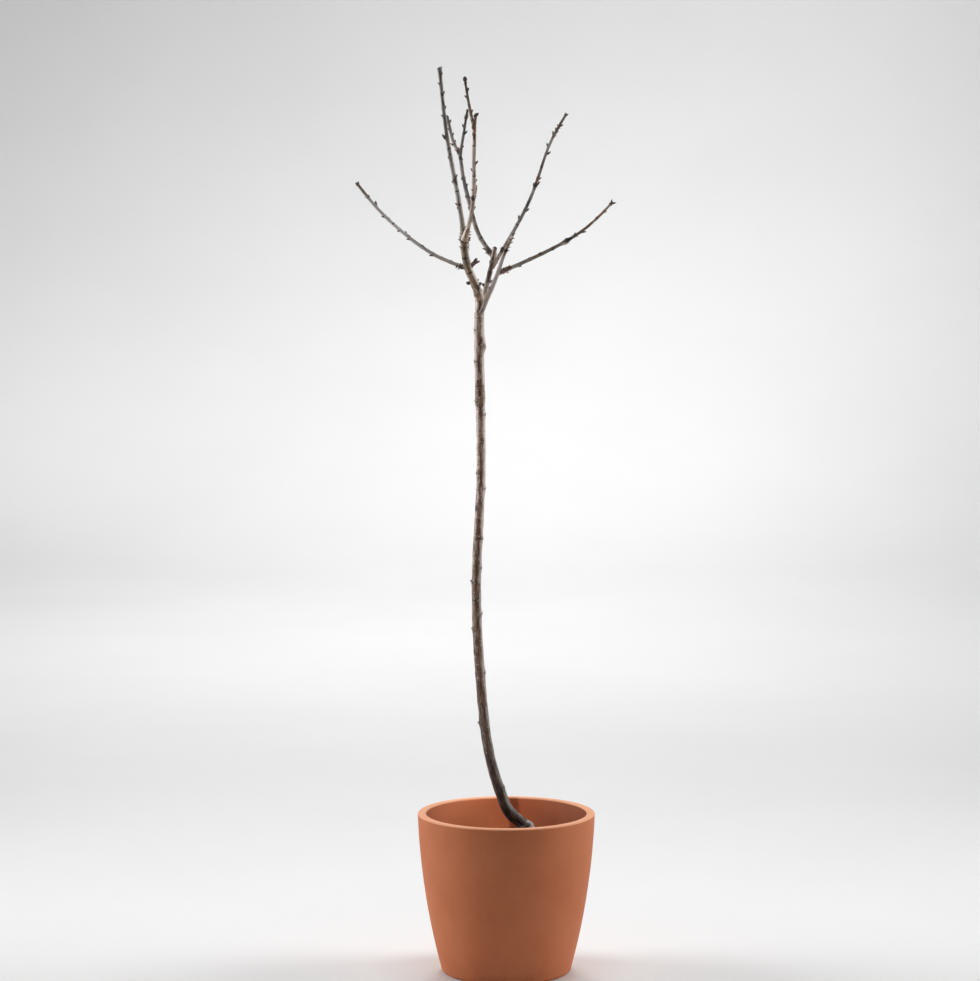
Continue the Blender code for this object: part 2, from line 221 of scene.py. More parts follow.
def mixNode(nodes, links, factor, first, second, blend="MIX"):
    node = nodes.new("ShaderNodeMix")
    node.data_type = "RGBA"
    node.blend_type = blend
    if isinstance(factor, float):
        node.inputs["Factor"].default_value = factor
    else:
        links.new(factor, node.inputs["Factor"])
    colours = [socket for socket in node.inputs if socket.type == "RGBA"]
    for value, socket in zip((first, second), colours):
        if isinstance(value, tuple):
            socket.default_value = (*value, 1.0)
        else:
            links.new(value, socket)
    return next(socket for socket in node.outputs if socket.type == "RGBA")


def mathNode(nodes, links, operation, first, second):
    node = nodes.new("ShaderNodeMath")
    node.operation = operation
    for value, socket in zip((first, second), node.inputs):
        if isinstance(value, float):
            socket.default_value = value
        else:
            links.new(value, socket)
    return node.outputs["Value"]


def bumpNode(nodes, links, height, strength, distance, below=None):
    node = nodes.new("ShaderNodeBump")
    node.inputs["Strength"].default_value = strength
    node.inputs["Distance"].default_value = distance
    links.new(height, node.inputs["Height"])
    if below:
        links.new(below, node.inputs["Normal"])
    return node.outputs["Normal"]


def stretched(nodes, links, source, scale):
    node = nodes.new("ShaderNodeMapping")
    node.inputs["Scale"].default_value = scale
    links.new(source, node.inputs["Vector"])
    return node.outputs["Vector"]


def splitAttribute(nodes, links, name):
    source = nodes.new("ShaderNodeAttribute")
    source.attribute_name = name
    split = nodes.new("ShaderNodeSeparateXYZ")
    links.new(source.outputs["Vector"], split.inputs["Vector"])
    return split.outputs["X"], split.outputs["Y"], split.outputs["Z"]


def clayMaterial():
    # smooth machine-turned earthenware: broad soft clouds, fine grain, a few specks and scuffs
    # the darker and the paler inside colour are painted shade and painted light on the inner wall; the lip colour is a
    # painted highlight
    clay = dict(
        deep=(0.480, 0.143, 0.056), body=(0.512, 0.158, 0.064), light=(0.544, 0.176, 0.075),
        speck=(0.27, 0.077, 0.034), scuff=(0.66, 0.29, 0.16), dampAndPaintedShade=(0.205, 0.055, 0.020), paintedInnerLight=(0.900, 0.260, 0.110),
        lip=(0.860, 0.420, 0.240), roughness=0.72,
    )
    mat, nodes, links, shader = newMaterial("firedClay")
    place = nodes.new("ShaderNodeTexCoord").outputs["Object"]
    cloud = noiseNode(nodes, links, place, 11.0, 4.0, 0.6)
    colour = rampNode(nodes, links, cloud, (0.32, clay["deep"]), (0.52, clay["body"]), (0.74, clay["light"]))
    # limbTone holds the unsmoothed inner wall, the painted light and painted shade on it, and the painted highlight on
    # the lip
    inner, paintedInnerLight, lip = splitAttribute(nodes, links, "limbTone")
    inside = mixNode(nodes, links, paintedInnerLight, clay["dampAndPaintedShade"], clay["paintedInnerLight"])
    inside = mixNode(nodes, links, 0.25, inside, rampNode(nodes, links, cloud, (0.40, 0.38), (0.62, 0.62)), "OVERLAY")
    colour = mixNode(nodes, links, inner, colour, inside)
    # a painted highlight along the top of the lip
    colour = mixNode(nodes, links, lip, colour, clay["lip"])
    grain = noiseNode(nodes, links, place, 1500.0, 3.0, 0.7)
    colour = mixNode(nodes, links, 0.22, colour, rampNode(nodes, links, grain, (0.30, 0.33), (0.70, 0.67)), "OVERLAY")
    near, kind = cellNode(nodes, links, place, 170.0)
    chosen = rampNode(nodes, links, kind, (0.80, 0.0), (0.84, 1.0))
    specks = mixNode(nodes, links, 1.0, rampNode(nodes, links, near, (0.10, 1.0), (0.20, 0.0)), chosen, "MULTIPLY")
    colour = mixNode(nodes, links, mixNode(nodes, links, 1.0, specks, (0.45, 0.45, 0.45), "MULTIPLY"), colour, clay["speck"])
    scratch = noiseNode(nodes, links, stretched(nodes, links, place, (1.0, 1.0, 0.22)), 120.0, 6.0, 0.75)
    scuffs = rampNode(nodes, links, scratch, (0.70, 0.0), (0.80, 0.35))
    colour = mixNode(nodes, links, scuffs, colour, clay["scuff"])
    links.new(colour, shader.inputs["Base Color"])
    shader.inputs["Roughness"].default_value = clay["roughness"]
    shader.inputs["Specular IOR Level"].default_value = 0.30
    turning = noiseNode(nodes, links, stretched(nodes, links, place, (2.0, 2.0, 260.0)), 1.0, 2.0)
    normal = bumpNode(nodes, links, turning, 0.05, 0.0004)
    normal = bumpNode(nodes, links, grain, 0.30, 0.0003, normal)
    normal = bumpNode(nodes, links, specks, 0.15, 0.0004, normal)
    links.new(normal, shader.inputs["Normal"])
    return mat


def barkMaterial():
    # brown bark streaked along the limb, a thin silver film that peels in patches, pale crossways pores and
    # rough dark scars. limbTone holds shade, scar and film, limbTint holds warmth, olive and pores
    bark = dict(
        dark=(0.045, 0.026, 0.018), middle=(0.185, 0.127, 0.096), pale=(0.420, 0.335, 0.270),
        filmDeep=(0.350, 0.322, 0.306), filmPale=(0.700, 0.660, 0.635), pore=(0.66, 0.57, 0.48),
        neutral=(1.0, 1.0, 1.02), tan=(1.0, 0.80, 0.69), rust=(1.12, 0.62, 0.38), olive=(0.200, 0.160, 0.085),
        scarDeep=(0.026, 0.015, 0.010), scarPale=(0.120, 0.075, 0.052),
    )
    mat, nodes, links, shader = newMaterial("cherryBark")
    source = nodes.new("ShaderNodeAttribute")
    source.attribute_name = "limbSpot"
    place = source.outputs["Vector"]
    shade, scar, film = splitAttribute(nodes, links, "limbTone")
    warm, olive, pores = splitAttribute(nodes, links, "limbTint")
    streak = noiseNode(nodes, links, stretched(nodes, links, place, (1.0, 1.0, 0.16)), 360.0, 7.0, 0.70)
    colour = rampNode(nodes, links, streak, (0.40, bark["dark"]), (0.50, bark["middle"]), (0.62, bark["pale"]))
    fine = noiseNode(nodes, links, place, 1500.0, 3.0, 0.6)
    patch = noiseNode(nodes, links, stretched(nodes, links, place, (1.0, 1.0, 0.17)), 300.0, 6.0, 0.68)
    blotch = noiseNode(nodes, links, stretched(nodes, links, place, (1.0, 1.0, 0.6)), 210.0, 5.0, 0.70)
    patch = mixNode(nodes, links, 0.45, patch, blotch)
    cover = mathNode(nodes, links, "ADD", patch, mathNode(nodes, links, "MULTIPLY", film, 0.42))
    mask = rampNode(nodes, links, cover, (0.64, 0.0), (0.72, 1.0))
    silver = rampNode(nodes, links, fine, (0.30, bark["filmDeep"]), (0.72, bark["filmPale"]))
    tint = rampNode(nodes, links, warm, (0.0, bark["neutral"]), (0.3, bark["tan"]), (1.0, bark["rust"]))
    silver = mixNode(nodes, links, 0.6, silver, tint, "MULTIPLY")
    colour = mixNode(nodes, links, 1.0, colour, tint, "MULTIPLY")
    colour = mixNode(nodes, links, mask, colour, silver)
    colour = mixNode(nodes, links, olive, colour, mixNode(nodes, links, 0.45, bark["olive"], colour))
    near, kind = cellNode(nodes, links, stretched(nodes, links, place, (0.62, 0.62, 1.4)), 280.0)
    dots = rampNode(nodes, links, near, (0.20, 1.0), (0.34, 0.0))
    few = mathNode(nodes, links, "ADD", kind, mathNode(nodes, links, "MULTIPLY", pores, 0.55))
    dots = mixNode(nodes, links, 1.0, dots, rampNode(nodes, links, few, (0.80, 0.0), (0.86, 1.0)), "MULTIPLY")
    colour = mixNode(nodes, links, dots, colour, bark["pore"])
    torn = mathNode(nodes, links, "ADD", scar, mathNode(nodes, links, "MULTIPLY", fine, 0.5))
    wound = rampNode(nodes, links, torn, (0.55, 0.0), (0.85, 1.0))
    scarTone = rampNode(nodes, links, streak, (0.35, bark["scarDeep"]), (0.70, bark["scarPale"]))
    colour = mixNode(nodes, links, wound, colour, scarTone)
    colour = mixNode(nodes, links, 1.0, colour, shade, "MULTIPLY")
    links.new(colour, shader.inputs["Base Color"])
    gloss = mathNode(nodes, links, "MULTIPLY", mask, -0.08)
    gloss = mathNode(nodes, links, "ADD", gloss, 0.46)
    gloss = mathNode(nodes, links, "ADD", gloss, mathNode(nodes, links, "MULTIPLY", wound, 0.22))
    links.new(gloss, shader.inputs["Roughness"])
    normal = bumpNode(nodes, links, streak, 0.6, 0.0009)
    normal = bumpNode(nodes, links, mask, 0.25, 0.0002, normal)
    normal = bumpNode(nodes, links, dots, 0.45, 0.0003, normal)
    links.new(normal, shader.inputs["Normal"])
    return mat


def budMaterial():
    # limbSpot holds the share of the length, the lap of the scales and the turn; limbTone starts with the red tint
    bud = dict(
        deep=(0.020, 0.012, 0.009), body=(0.070, 0.042, 0.030), edge=(0.190, 0.135, 0.100), red=(0.360, 0.150, 0.095),
    )
    mat, nodes, links, shader = newMaterial("budScales")
    source = nodes.new("ShaderNodeAttribute")
    source.attribute_name = "limbSpot"
    place = source.outputs["Vector"]
    lap = splitAttribute(nodes, links, "limbSpot")[1]
    red = splitAttribute(nodes, links, "limbTone")[0]
    mottle = noiseNode(nodes, links, place, 4.0, 4.0, 0.6)
    colour = rampNode(nodes, links, mottle, (0.35, bud["deep"]), (0.65, bud["body"]))
    colour = mixNode(nodes, links, red, colour, bud["red"])
    edge = rampNode(nodes, links, lap, (0.30, 1.0), (0.62, 0.0))
    colour = mixNode(nodes, links, mixNode(nodes, links, 1.0, edge, (0.6, 0.6, 0.6), "MULTIPLY"), colour, bud["edge"])
    links.new(colour, shader.inputs["Base Color"])
    gloss = mathNode(nodes, links, "ADD", mathNode(nodes, links, "MULTIPLY", mottle, 0.3), 0.35)
    links.new(gloss, shader.inputs["Roughness"])
    links.new(bumpNode(nodes, links, mottle, 0.3, 0.0003), shader.inputs["Normal"])
    return mat


# the pot


def makePot():
    pot = dict(
        height=0.227, rim=0.125, middle=0.1147, foot=0.0906, wall=0.0120, floor=0.014,
        lip=0.0024, lipSteps=7, paintedLipHighlight=0.78, paintedLightTurn=103, paintedLightFall=3.8, footRound=0.007, steps=220, wobble=0.00025, rows=34, inset=0.009,
    )

    def outer(height):
        # a parabola through the radii of foot, middle and rim
        share = height / pot["height"]
        bend = 2 * (pot["rim"] + pot["foot"]) - 4 * pot["middle"]
        slope = pot["rim"] - pot["foot"] - bend
        return pot["foot"] + slope * share + bend * share**2

    def arc(x, z, radius, first, last):
        steps = pot["lipSteps"]
        turns = [math.radians(first + (last - first) * k / steps) for k in range(steps + 1)]
        return [(x + radius * math.cos(a), z + radius * math.sin(a)) for a in turns]

    top = pot["height"] - pot["lip"]
    low = pot["floor"] + pot["inset"]
    profile = [(outer(low) - pot["wall"] - pot["inset"], pot["floor"])]
    for k in range(1, pot["rows"]):
        height = low + (top - low) * k / pot["rows"]
        profile.append((outer(height) - pot["wall"], height))
    profile += arc(pot["rim"] - pot["wall"] + pot["lip"], top, pot["lip"], 180, 90)
    profile += arc(pot["rim"] - pot["lip"], top, pot["lip"], 90, 0)
    for k in range(1, pot["rows"]):
        height = top + (pot["footRound"] - top) * k / pot["rows"]
        profile.append((outer(height), height))
    profile += arc(outer(pot["footRound"]) - pot["footRound"], pot["footRound"], pot["footRound"], 0, -90)
    skin = newSkin()
    verts = skin["verts"]
    faces = skin["faces"]
    steps = pot["steps"]
    for k, (radius, height) in enumerate(profile):
        inner = 1.0 if k < pot["rows"] + pot["lipSteps"] / 2 else 0.0
        # the lip's band carries the painted highlight
        lip = pot["paintedLipHighlight"] if pot["rows"] + 2 <= k < pot["rows"] + 2 * pot["lipSteps"] else 0.0
        for n in range(steps):
            angle = 2 * math.pi * n / steps
            way = Vector((math.cos(angle), math.sin(angle), 0.0))
            uneven = noise.noise(Vector((way.x * 2.2, way.y * 2.2, height * 11.0)))
            verts.append(way * (radius + pot["wobble"] * uneven) + Vector((0.0, 0.0, height)))
            # painted light on the inner wall, lightest at the back a little to the left, shading off to painted shade
            # away from there
            paintedInnerLight = (0.5 + 0.5 * math.cos(angle - math.radians(pot["paintedLightTurn"]))) ** pot["paintedLightFall"]
            skin["tones"].append((inner, paintedInnerLight, lip))
    for k in range(len(profile) - 1):
        for n in range(steps):
            a = k * steps + n
            b = k * steps + (n + 1) % steps
            faces.append((b, a, a + steps, b + steps))
    verts.append(Vector((0.0, 0.0, pot["floor"])))
    verts.append(Vector((0.0, 0.0, 0.0)))
    skin["tones"] += [(1.0, 0.3, 0.0), (0.0, 0.0, 0.0)]
    last = (len(profile) - 1) * steps
    for n in range(steps):
        faces.append((n, (n + 1) % steps, len(verts) - 2))
        faces.append((last + (n + 1) % steps, last + n, len(verts) - 1))
    piece = addPiece("potClay", skin, clayMaterial())
    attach(piece, "root")
    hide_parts("pot")
    print("pot made")


# the compost


def compostMaterial():
    peat = dict(deep=(0.010, 0.007, 0.005), body=(0.036, 0.023, 0.015), bark=(0.120, 0.072, 0.042))
    mat, nodes, links, shader = newMaterial("pottingCompost")
    place = nodes.new("ShaderNodeTexCoord").outputs["Object"]
    fleck = noiseNode(nodes, links, place, 420.0, 6.0, 0.7)
    colour = rampNode(nodes, links, fleck, (0.32, peat["deep"]), (0.54, peat["body"]), (0.76, peat["bark"]))
    dampAndPaintedShade = noiseNode(nodes, links, place, 34.0, 3.0)
    colour = mixNode(nodes, links, 1.0, colour, rampNode(nodes, links, dampAndPaintedShade, (0.35, 0.55), (0.65, 1.0)), "MULTIPLY")
    links.new(colour, shader.inputs["Base Color"])
    shader.inputs["Roughness"].default_value = 0.95
    links.new(bumpNode(nodes, links, fleck, 0.8, 0.002), shader.inputs["Normal"])
    return mat


def makeCompost():
    soil = dict(
        level=0.172, radius=0.1098, rings=70, steps=220, heave=0.0035, sag=0.002, skirt=0.105, depth=0.03,
        crumbs=2600, smallest=0.0006, largest=0.0030, seed=7,
    )

    def rise(x, y):
        return soil["heave"] * noise.fractal(Vector((x * 60, y * 60, 1.0)), 1.0, 2.0, 5)

    skin = newSkin()
    verts = skin["verts"]
    faces = skin["faces"]
    verts.append(Vector((0.0, 0.0, soil["level"])))
    steps = soil["steps"]
    for k in range(1, soil["rings"] + 1):
        radius = soil["radius"] * k / soil["rings"]
        for n in range(steps):
            angle = 2 * math.pi * n / steps
            x, y = radius * math.cos(angle), radius * math.sin(angle)
            verts.append(Vector((x, y, soil["level"] + rise(x, y) - soil["sag"] * k / soil["rings"])))
    for n in range(steps):
        faces.append((0, 1 + n, 1 + (n + 1) % steps))
    for k in range(soil["rings"] - 1):
        for n in range(steps):
            a = 1 + k * steps + n
            b = 1 + k * steps + (n + 1) % steps
            faces.append((a, a + steps, b + steps, b))
    edge = 1 + (soil["rings"] - 1) * steps
    base = len(verts)
    for n in range(steps):
        angle = 2 * math.pi * n / steps
        way = Vector((math.cos(angle), math.sin(angle), 0.0))
        verts.append(way * soil["skirt"] + Vector((0.0, 0.0, soil["level"] - soil["depth"])))
    for n in range(steps):
        m = (n + 1) % steps
        faces.append((edge + n, base + n, base + m, edge + m))
    faces.append([base + n for n in range(steps)][::-1])
    rng = random.Random(soil["seed"])
    for k in range(soil["crumbs"]):
        # crumbs of peat and composted bark, most of them small
        radius = soil["radius"] * 0.97 * math.sqrt(rng.random())
        angle = rng.uniform(0, 2 * math.pi)
        size = soil["smallest"] + (soil["largest"] - soil["smallest"]) * rng.random() ** 2.5
        x, y = radius * math.cos(angle), radius * math.sin(angle)
        centre = Vector((x, y, soil["level"] + rise(x, y) - soil["sag"] * radius / soil["radius"]))
        spin = Matrix.Rotation(rng.uniform(0, 2 * math.pi), 3, Vector((rng.random(), rng.random(), 1)))
        flat = Vector((size * rng.uniform(0.7, 2.2), size, size * rng.uniform(0.4, 0.9)))
        corner = len(verts)
        for x, y, z in ((1, 0, 0), (0, 1, 0), (-1, 0, 0), (0, -1, 0), (0, 0, 1), (0, 0, -1)):
            shake = rng.uniform(0.75, 1.25)
            verts.append(centre + spin @ Vector((x * flat.x, y * flat.y, z * flat.z)) * shake)
        for a, b in ((0, 1), (1, 2), (2, 3), (3, 0)):
            faces.append((corner + a, corner + b, corner + 4))
            faces.append((corner + b, corner + a, corner + 5))
    piece = addPiece("compostTop", skin, compostMaterial())
    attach(piece, "root")
    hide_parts("compost")
    print("compost made")


# buds and spurs

budShape = dict(length=0.0068, width=0.0036, lean=28, leanSpread=6, rows=10, sides=12, lap=0.16)
spurShape = dict(first=0.0027, middle=0.0021, last=0.0022, step=0.0003, sides=16, ring=0.00020, rings=700)


def addBud(root, aim, size, skin, stout=1.0, red=0.0):
    # a plump pointed bud wrapped in overlapping scales, widest a third of the way up
    length = budShape["length"] * size
    width = budShape["width"] * size * stout
    verts = skin["verts"]
    base = len(verts)
    turnTo = Vector((0, 0, 1)).rotation_difference(aim).to_matrix()
    rows = budShape["rows"]
    sides = budShape["sides"]
    for k in range(rows + 1):
        share = k / rows
        swell = (0.55 + 1.6 * share) * (1 - share) ** 0.85 if share > 0.28 else 0.55 + 0.75 * share / 0.28 * 0.45
        swell = min(1.0, swell)
        for n in range(sides):
            turn = 2 * math.pi * n / sides
            lap = (share * 3.4 + 0.25 * math.sin(turn * 2 + share * 5)) % 1.0
            radius = width / 2 * max(0.03, swell * (1 + budShape["lap"] * (0.5 - lap)))
            spot = Vector((radius * math.cos(turn), radius * math.sin(turn), length * share))
            verts.append(root + turnTo @ spot)
            skin["spots"].append((share, lap, turn + length * 900))
            skin["tones"].append((red, 0.0, 0.0))
    for k in range(rows):
        for n in range(sides):
            a = base + k * sides + n
            b = base + k * sides + (n + 1) % sides
            skin["faces"].append((a, b, b + sides, a + sides))
    skin["faces"].append([base + n for n in range(sides)][::-1])
    skin["faces"].append([base + rows * sides + n for n in range(sides)])


def plainTone(shade=1.0, scar=0.0, film=0.3, warm=0.3, olive=0.0, pores=0.0):
    return (shade, scar, film), (warm, olive, pores)


def growBuds(limb, skin, rng):
    # each bud sits on a swollen node and leans out from the limb
    line = limbLine(limb)
    for share, turn, size in limb["nodes"]:
        if not size:
            continue
        centre, along = spotAt(line, share)
        way = outward(along, turn)
        lean = math.radians(budShape["lean"] + rng.uniform(-1, 1) * budShape["leanSpread"])
        root = centre + way * (limbRadius(limb, share) * 0.85) - along * 0.001
        aim = way * math.sin(lean) + along * math.cos(lean)
        addBud(root, aim.normalized(), size, skin)
    for share, turn, size, lean in limb.get("scales", ()):
        # small pointed scales that stay on the rings where one year's growth ends
        centre, along = spotAt(line, share)
        angle = math.radians(lean)
        way = outward(along, turn)
        aim = way * math.sin(angle) + along * math.cos(angle)
        addBud(centre + way * (limbRadius(limb, share) * 0.8), aim, size, skin, 0.9, limb.get("redScales", 0.15))
    for turn, lean, size, stout in limb.get("tipBuds", ()):
        tip, along = spotAt(line, 1.0)
        angle = math.radians(lean)
        aim = outward(along, turn) * math.sin(angle) + along * math.cos(angle)
        addBud(tip - aim * 0.0022 * size, aim.normalized(), size, skin, stout)


def growSpurs(limb, wood, buds, rng):
    # short ringed spurs that end in one or more fat buds
    line = limbLine(limb)
    for share, turn, length, count, size in limb.get("spurs", ()):
        centre, along = spotAt(line, share)
        way = outward(along, turn)
        aim = (way * 0.85 + along * 0.5).normalized()
        reach = limbRadius(limb, share)
        root = centre + way * (reach * 0.4)
        end = root + aim * (length + reach * 0.6)
        phase = rng.uniform(0, 6)

        def radiusAt(part, angle, run):
            radius = float(np.interp(part, (0, 0.5, 1), [spurShape[k] for k in ("first", "middle", "last")]))
            return radius * size + spurShape["ring"] * math.sin(run * 2 * math.pi * spurShape["rings"] + phase)

        def toneAt(part, angle, run):
            return plainTone(0.9, 0.35, 0.1, 0.4)

        stub = softLine([root, (root + end) / 2 + along * 0.0004, end], spurShape["step"])
        skinLimb(stub, spurShape["sides"], wood, share * 9, 0.002, radiusAt, toneAt)
        for n in range(count):
            fan = 360 * n / count + rng.uniform(-25, 25)
            spread = outward(aim, fan) * (0.55 if count > 1 else 0.0)
            budWay = (aim + spread).normalized()
            addBud(end - budWay * 0.0020 + spread * 0.0013, budWay, size * 1.15, buds, 0.85 if count > 1 else 2.1)


# the limbs. nodes are (share, turn, bud size), rings (share, strength),
# marks (share, turn, length, width in degrees, strength), dark above 0 and silvery below it,
# spurs (share, turn, length, buds, size) and scales (share, turn, size, lean)

fork = (-0.0376, 0.0, 0.932)
leftStem = dict(
    start=fork, tip=(-0.0583, -0.0120, 1.0336), bows=(0.0037, -0.0009, -0.0035),
    radii=(0.0062, 0.0051), seed=1.3,
    nodes=(
        (0.985, 5, 0.0), (0.955, 0, 0.0), (0.975, 182, 0.0), (0.900, 178, 0.0), (0.905, 2, 0.0),
        (0.560, 265, 0.0), (0.360, 330, 0.0), (0.240, 200, 0.0),
    ),
    scales=(
        (0.985, 182, 0.85, 62), (0.995, 200, 0.80, 40), (1.0, 5, 0.80, 42), (0.995, 350, 0.80, 58), (0.98, 0, 0.75, 68),
        (0.985, 265, 0.45, 52), (0.99, 300, 0.45, 55), (0.99, 228, 0.45, 55), (0.98, 90, 0.50, 55), (0.99, 130, 0.45, 50),
        (0.90, 180, 0.65, 66), (0.91, 5, 0.60, 50), (0.86, 0, 0.50, 45), (0.41, 0, 0.70, 50), (0.30, 340, 0.45, 50),
    ),
    rings=((0.99, 0.9), (0.972, 1.0), (0.90, 0.4), (0.76, 0.7), (0.36, 0.4), (0.02, 0.4)),
    marks=(
        (0.89, 266, 0.010, 16, 0.9), (0.10, 273, 0.018, 13, 1.0), (0.33, 300, 0.0045, 26, 1.0), (0.29, 342, 0.0045, 26, 1.0),
        (0.76, 245, 0.0040, 50, 1.0), (0.985, 270, 0.0030, 120, 0.9), (0.58, 205, 0.030, 22, 0.5),
    ),
    spurs=((0.41, 182, 0.0022, 1, 0.78), (0.615, 5, 0.0060, 3, 1.38), (0.345, 352, 0.0018, 1, 0.66)),
    film=((0.0, 0.58), (0.19, 0.62), (0.30, 0.48), (0.40, 0.41), (1.0, 0.41)), paintedFlankStrength=0.30,
    shade=((0.0, 0.98), (0.12, 1.45), (0.19, 1.95), (0.31, 1.62), (0.45, 1.28), (0.58, 1.40), (0.70, 0.92), (0.95, 1.40)),
    warm=((0.0, 0.20), (0.3, 0.26), (1.0, 0.18)),
    olive=((0.0, 0.0), (0.3, 0.34), (1.0, 0.75)),
)
rightStem = dict(
    start=fork, tip=(-0.0160, 0.0200, 1.0222), bows=(0.0006, 0.0012),
    radii=(0.0040, 0.0032), seed=2.1,
    nodes=((0.49, 0, 0.80), (0.47, 40, 0.5), (0.79, 0, 0.0), (0.78, 185, 0.40), (0.90, 20, 0.35), (0.62, 270, 0.0)),
    scales=((0.72, 340, 0.60, 50), (0.80, 15, 0.65, 60), (0.75, 300, 0.50, 55), (0.47, 0, 0.55, 60)),
    rings=((0.75, 0.9), (0.775, 1.0), (0.80, 0.8), (0.48, 0.6), (0.25, 0.4), (0.97, 0.9)),
    marks=(
        (0.60, 215, 0.016, 30, 0.8), (1.0, 270, 0.004, 200, 1.0), (0.48, 330, 0.003, 40, 1.0),
        (0.765, 330, 0.007, 50, -0.5), (0.90, 200, 0.012, 30, 0.6),
    ),
    spurs=((0.40, 182, 0.0012, 1, 0.66), (0.765, 2, 0.0024, 2, 0.62)), tipBuds=((0, 4, 0.50, 1.5),),
    film=((0.0, 0.50), (0.12, 0.62), (0.45, 0.60), (0.6, 0.40), (1.0, 0.45)), paintedFlankStrength=0.25,
    warm=((0.0, 0.30), (1.0, 0.32)), olive=((0.0, 0.3), (0.12, 0.6), (0.3, 0.2), (0.7, 0.2), (0.76, 0.6), (0.85, 0.1)),
    shade=((0.0, 1.08), (0.1, 1.3), (0.19, 1.72), (0.25, 1.15), (0.31, 0.66), (0.44, 0.76), (0.56, 0.49), (0.70, 0.54), (0.76, 0.9), (0.82, 0.56), (0.95, 1.05)),
)
outerStem = dict(
    start=(-0.0362, -0.0040, 0.9307), tip=(0.0079, -0.0180, 1.0381),
    bows=(0.0005, 0.0008, -0.0008), radii=(0.0037, 0.0022), seed=3.7,
    nodes=((0.33, 182, 0.35), (0.81, 180, 0.55), (0.96, 180, 0.40), (0.56, 95, 0.5)),
    scales=((0.92, 0, 0.60, 40), (0.98, 355, 0.50, 45), (0.86, 10, 0.45, 50), (0.82, 0, 0.50, 55), (0.80, 280, 0.4, 50)),
    rings=((0.05, 0.9), (0.075, 0.8), (0.10, 0.7), (0.33, 0.4), (0.82, 0.9), (0.88, 0.8), (0.94, 0.8)),
    marks=((0.82, 270, 0.006, 80, 1.0), (0.92, 300, 0.004, 30, 0.8), (0.955, 240, 0.004, 30, 0.8)),
    tipBuds=((0, 24, 0.65, 1.1), (180, 40, 0.5, 1.1)),
    film=((0.0, 0.60), (0.3, 0.72), (0.75, 0.74), (0.82, 0.35), (0.9, 0.45), (1.0, 0.62)), paintedFlankStrength=0.20,
    warm=((0.0, 0.35), (0.3, 0.22), (0.7, 0.15), (0.82, 0.6), (0.9, 0.25)), olive=((0.0, 0.5), (0.25, 0.4), (0.4, 0.0)),
    shade=((0.0, 0.95), (0.12, 1.05), (0.2, 1.14), (0.7, 1.15), (0.82, 0.95), (0.92, 1.25), (1.0, 1.30)),
)
tallLeader = dict(
    start=(-0.0583, -0.0120, 1.0336), tip=(-0.0931, 0.0200, 1.2718),
    bows=(-0.0004, -0.0031, -0.0029), radii=(0.0035, 0.0023), seed=4.2,
    nodes=(
        (0.965, 10, 0.0), (0.905, 180, 0.65), (0.85, 2, 0.75), (0.765, 0, 0.75), (0.72, 180, 0.65),
        (0.59, 182, 1.35), (0.48, 180, 0.35), (0.365, 0, 0.75), (0.335, 182, 0.65), (0.205, 180, 0.75), (0.185, 182, 0.5),
        (0.055, 2, 0.0), (0.885, 95, 0.55), (0.67, 85, 0.6), (0.53, 282, 0.0), (0.43, 80, 0.6), (0.28, 276, 0.0),
        (0.12, 100, 0.6),
    ),
    scales=(
        (0.012, 182, 0.80, 55), (0.030, 178, 0.65, 45), (0.045, 5, 0.70, 50), (0.065, 340, 0.55, 45), (0.36, 40, 0.4, 50),
        (0.84, 330, 0.4, 45),
    ),
    rings=((0.83, 0.8), (0.36, 0.5), (0.345, 0.5), (0.205, 0.5), (0.585, 0.5), (0.02, 0.6)),
    marks=(
        (0.965, 330, 0.008, 45, 0.7), (0.60, 225, 0.022, 40, 0.6), (0.84, 290, 0.006, 60, 0.7), (0.20, 270, 0.004, 40, 0.8),
        (0.345, 240, 0.005, 50, 0.7), (0.055, 300, 0.006, 40, 0.9),
    ),
    swells=((0.0, 0.0018, 0.015), (0.35, 0.0004, 0.004)), cut=dict(slant=0.0012, turn=0, flare=0.75, run=0.006),
    film=((0.0, 0.34), (0.05, 0.36), (0.1, 0.50), (0.2, 0.54), (0.6, 0.56), (0.85, 0.52), (1.0, 0.68)), paintedLitSide=(160, 0.14),
    shade=((0.0, 0.88), (0.1, 0.66), (0.19, 0.54), (0.31, 0.74), (0.44, 0.58), (0.56, 0.48), (0.69, 0.22), (0.81, 0.56), (0.94, 0.22), (1.0, 0.44)),
    warm=((0.0, 0.16), (0.1, 0.22), (0.25, 0.10), (0.5, 0.12), (0.62, 0.25), (0.8, 0.05), (0.92, 0.05), (0.955, 0.7), (0.985, 0.1)),
    olive=((0.0, 0.75), (0.07, 0.6), (0.2, 0.0), (0.5, 0.0), (0.6, 0.4), (0.75, 0.1)),
)
